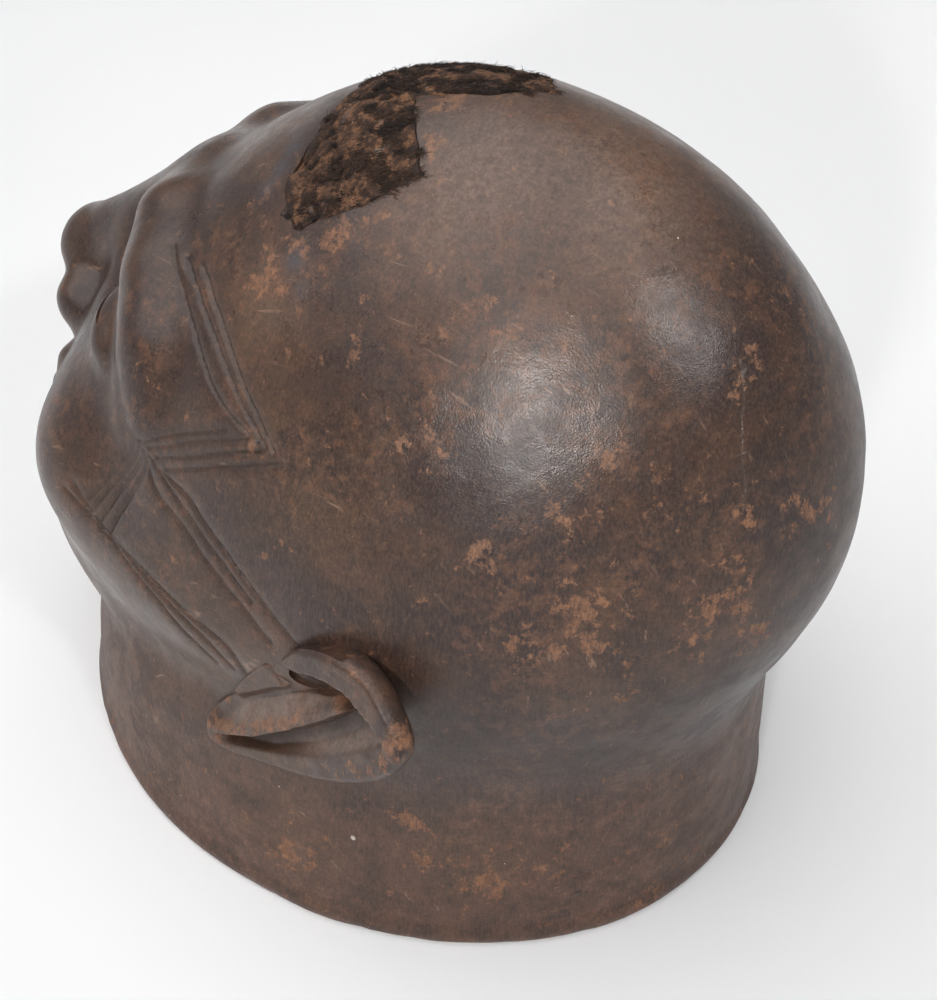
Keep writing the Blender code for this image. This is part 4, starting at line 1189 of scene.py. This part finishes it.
# ---------------------------------------------------------------- the mask
def build_mask():
    verts, tris = shell_mesh()
    mask = from_arrays("mask_wood", verts, tris)
    outward(mask)
    tools = [(from_arrays("ear_left", *ear_mesh(1.0)), "UNION"),
             (from_arrays("ear_right", *ear_mesh(-1.0)), "UNION"),
             (from_bmesh("scoop_left", ear_scoop(1.0)), "DIFFERENCE"),
             (from_bmesh("scoop_right", ear_scoop(-1.0)), "DIFFERENCE"),
             (from_bmesh("hair_recess", hair_slab(0.0, -HAIR_DEPTH, 0.006, 8, 24, 7)), "DIFFERENCE")]
    for name, bm in (
            ("eye_left", slit_cutter(0.040, -0.0335, EYE_SLIT_WIDTH, 0.0012, 0.078, 0.132)),
            ("eye_right", slit_cutter(-0.040, -0.0335, EYE_SLIT_WIDTH, 0.0012, 0.078, 0.132)),
            ("mouth", slit_cutter(0.0, -0.1205, MOUTH_SLIT_WIDTH, 0.0008, 0.085, 0.155))):
        tools.append((from_bmesh(name, bm), "DIFFERENCE"))
    combined(mask, tools)
    mesh = mask.data
    mesh.shade_smooth()
    mesh.set_sharp_from_angle(angle=math.radians(48))

    p = coords(mesh) - np.array([0.0, SHIFT_Y, 0.0])
    curve = bulge(mesh)
    line = bands.distance(left_hand(p))
    split = cracks.distance(p)
    depth = head_mass(p)
    hollow = step(-head_shape(p), 0.0035, 0.0070)
    a, b, h = ear_plane(p)
    on_ear = (h > -9) & (a > -3) & (a < 106) & (b > -8) & (b < 41) & (depth > 0.0005)
    # darker along the cut lines (dirt), plus painted shade in concave creases and in the deep parts of the ear's relief
    dirt_and_shade = np.clip(np.exp(-(line / 0.0009) ** 2) * 0.85, 0, 1)
    dirt_and_shade = np.maximum(dirt_and_shade, np.clip(-curve * 2.6 - 0.10, 0, 0.9) * (hollow < 0.5))
    dirt_and_shade = np.maximum(dirt_and_shade, 0.8 * on_ear * step(-h, 2.2, 4.6) * (h > -7.5))
    edge = np.clip(curve * 3.0 - 0.06, 0, 1) * (hollow < 0.5)
    edge = np.maximum(edge, 0.50 * step(-p[:, 2], -0.0075, -0.0015) * (hollow < 0.5))
    worn = zone(p, WORN)
    top = np.interp(a, (4, 9, 32, 54, 69, 80, 87), (2, 1, 0, 4, 9, 13, 18.5))
    ridge = np.interp(a, (4, 10, 30, 53, 71, 87), (3, 4.6, 11, 15, 17.2, 18.8))
    rim = np.interp(a, (4, 11, 42, 62, 87), (7, 10, 22, 28, 31.5))
    low_edge = np.interp(a, (2, 23, 48, 69, 86, 97), (8, 19, 31, 37, 39, 36))
    lobe = on_ear * np.maximum.reduce([
        np.exp(-((a - 6) / 12) ** 2 - ((b - 3) / 7) ** 2) * 1.2,
        np.exp(-((a - 93) / 9) ** 2 - ((b - 31) / 8) ** 2) * 1.1,
        step(a, 6, 16) * (1 - step(a, 78, 90)) * np.exp(-((b - ridge + 2.2) / 3.0) ** 2) * 1.15,
        step(a, 50, 70) * np.exp(-((b - low_edge + 3.5) / 3.6) ** 2) * 1.0,
        np.exp(-((a - 30) / 18) ** 2 - ((b + 3.5) / 2.6) ** 2) * 0.9,
        np.exp(-((a - 88) / 9) ** 2 - ((b - 6) / 9) ** 2) * 0.6])
    # painted light on the ear's upward-facing facets, lightened to grey
    lit_facets = on_ear * np.maximum(
        step(a, 12, 30) * (1 - step(a, 76, 90)) * step(b, top - 1, top + 2) * (1 - step(b, ridge - 5.5, ridge - 2.5)),
        step(a, 40, 55) * (1 - step(a, 84, 95)) * np.exp(-((b - rim + 3.2) / 2.6) ** 2))
    worn = np.maximum(worn, lobe)
    mesh_marks = np.stack([dirt_and_shade, worn, edge, np.ones(len(p))], 1)
    put_marks(mesh, "marks", mesh_marks)
    put_marks(mesh, "zones", np.stack([zone(p, OLIVE), zone(p, SMEAR), hollow, np.ones(len(p))], 1))
    # spots carry the crack, the painted shade of nape and lower sides, and the painted light on crown and ear facets
    put_marks(mesh, "spots", np.stack([np.exp(-(split / 0.00022) ** 2) * 0.55, zone(p, SHADE_ZONES),
                                       np.maximum(zone(p, PAINTED_LIGHT_ZONES), lit_facets),
                                       np.ones(len(p))], 1))
    mesh.materials.clear()
    mesh.materials.append(wood_material())
    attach(mask, "root")
    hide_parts("carved_mask")
    print("mask_wood", len(mesh.polygons), "faces")
    return mask


def build_hair():
    bed = from_bmesh("hair_bed", hair_slab(0.0018, -HAIR_DEPTH + FIT_GAP, 0.0001, 44, 48, 7, 0.00085))
    mesh = bed.data
    mesh.shade_smooth()
    p = coords(mesh) - np.array([0.0, SHIFT_Y, 0.0])
    w = p[:, 2] - CRANIUM_Z
    x, y = p[:, 0] / w, p[:, 1] / w
    border = 1.0 - in_hair(x, y, 0.020).astype(float)
    put_marks(mesh, "marks", np.stack([border * 0.9, border, border, np.ones(len(p))], 1))
    mesh.materials.append(wax_material())
    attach(bed, "root")
    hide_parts("hair_inset")
    shaded = hair_material()
    for n, (seed, clumps, strands) in enumerate(((5, 190, 100), (6, 190, 100))):
        verts, tris, shade = tufts(seed, clumps, strands)
        piece = from_arrays("hair_tufts_%d" % (n + 1), verts, tris)
        piece.data.shade_smooth()
        put_marks(piece.data, "marks", np.stack([shade, shade, shade, np.ones(len(shade))], 1))
        piece.data.materials.append(shaded)
        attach(piece, "root")
        print(piece.name, len(piece.data.polygons), "faces")
    print("hair_bed", len(mesh.polygons), "faces")


# ----------------------------------------------------- floor, light, camera
def build_stage():
    bm = bmesh.new()
    bmesh.ops.create_grid(bm, x_segments=8, y_segments=8, size=9.0)
    mesh = bpy.data.meshes.new("floor")
    bm.to_mesh(mesh)
    bm.free()
    floor = link("floor", mesh)
    mesh.materials.append(floor_material())

    def soft(name, azimuth, height, far, size, power, colour=(1.0, 1.0, 1.0), aim=(0.0, 0.02, 0.14)):
        az, el = math.radians(azimuth), math.radians(height)
        away = Vector((math.sin(az) * math.cos(el), -math.cos(az) * math.cos(el), math.sin(el)))
        data = bpy.data.lights.new(name, "AREA")
        data.shape = "ELLIPSE"
        data.size, data.size_y = size
        data.energy = power
        data.color = colour
        data.spread = math.radians(26.0)
        obj = bpy.data.objects.new(name, data)
        bpy.context.scene.collection.objects.link(obj)
        obj.location = Vector(aim) + away * far
        obj.rotation_euler = away.to_track_quat("Z", "Y").to_euler()
        return obj
    soft("side_window", 104, 24, 1.9, (0.15, 0.13), 0.310, (1.0, 0.99, 0.985), (0.056, 0.072, 0.204))
    soft("back_window", 155, 43, 1.9, (0.17, 0.11), 0.155, (0.98, 0.99, 1.0), (0.026, 0.096, 0.225))
    sun = bpy.data.lights.new("overhead", "SUN")
    sun.energy = 2.22
    sun.angle = math.radians(84.0)
    overhead = bpy.data.objects.new("overhead", sun)
    bpy.context.scene.collection.objects.link(overhead)
    overhead.rotation_euler = Vector((0.24, -0.30, 1.0)).to_track_quat("Z", "Y").to_euler()

    world = bpy.data.worlds.new("soft_room")
    world.use_nodes = True
    shade = world.node_tree.nodes["Background"]
    shade.inputs["Color"].default_value = (0.985, 0.99, 1.0, 1.0)
    shade.inputs["Strength"].default_value = 0.31
    bpy.context.scene.world = world

    data = bpy.data.cameras.new("camera")
    data.sensor_fit = "AUTO"
    data.sensor_width = 36.0
    data.lens = 55.657
    data.clip_start, data.clip_end = 0.01, 30.0
    camera = bpy.data.objects.new("camera", data)
    bpy.context.scene.collection.objects.link(camera)
    right = Vector((-0.5182551101154005, 0.8551748683789594, 0.009358703558903317))
    up = Vector((-0.5962001404322398, -0.36911290406063246, 0.7129523522680207))
    back = Vector((0.6131533522601436, 0.36391153945561505, 0.7011500253606162))
    camera.matrix_world = Matrix((
        (right.x, up.x, back.x, 0.3081018749),
        (right.y, up.y, back.y, 0.2023242292 + SHIFT_Y),
        (right.z, up.z, back.z, 0.4556993405),
        (0.0, 0.0, 0.0, 1.0)))
    bpy.context.scene.camera = camera
    bpy.context.scene.view_settings.view_transform = "Standard"
    bpy.context.scene.view_settings.look = "None"


build_mask()
build_hair()
build_stage()
bpy.context.view_layer.update()
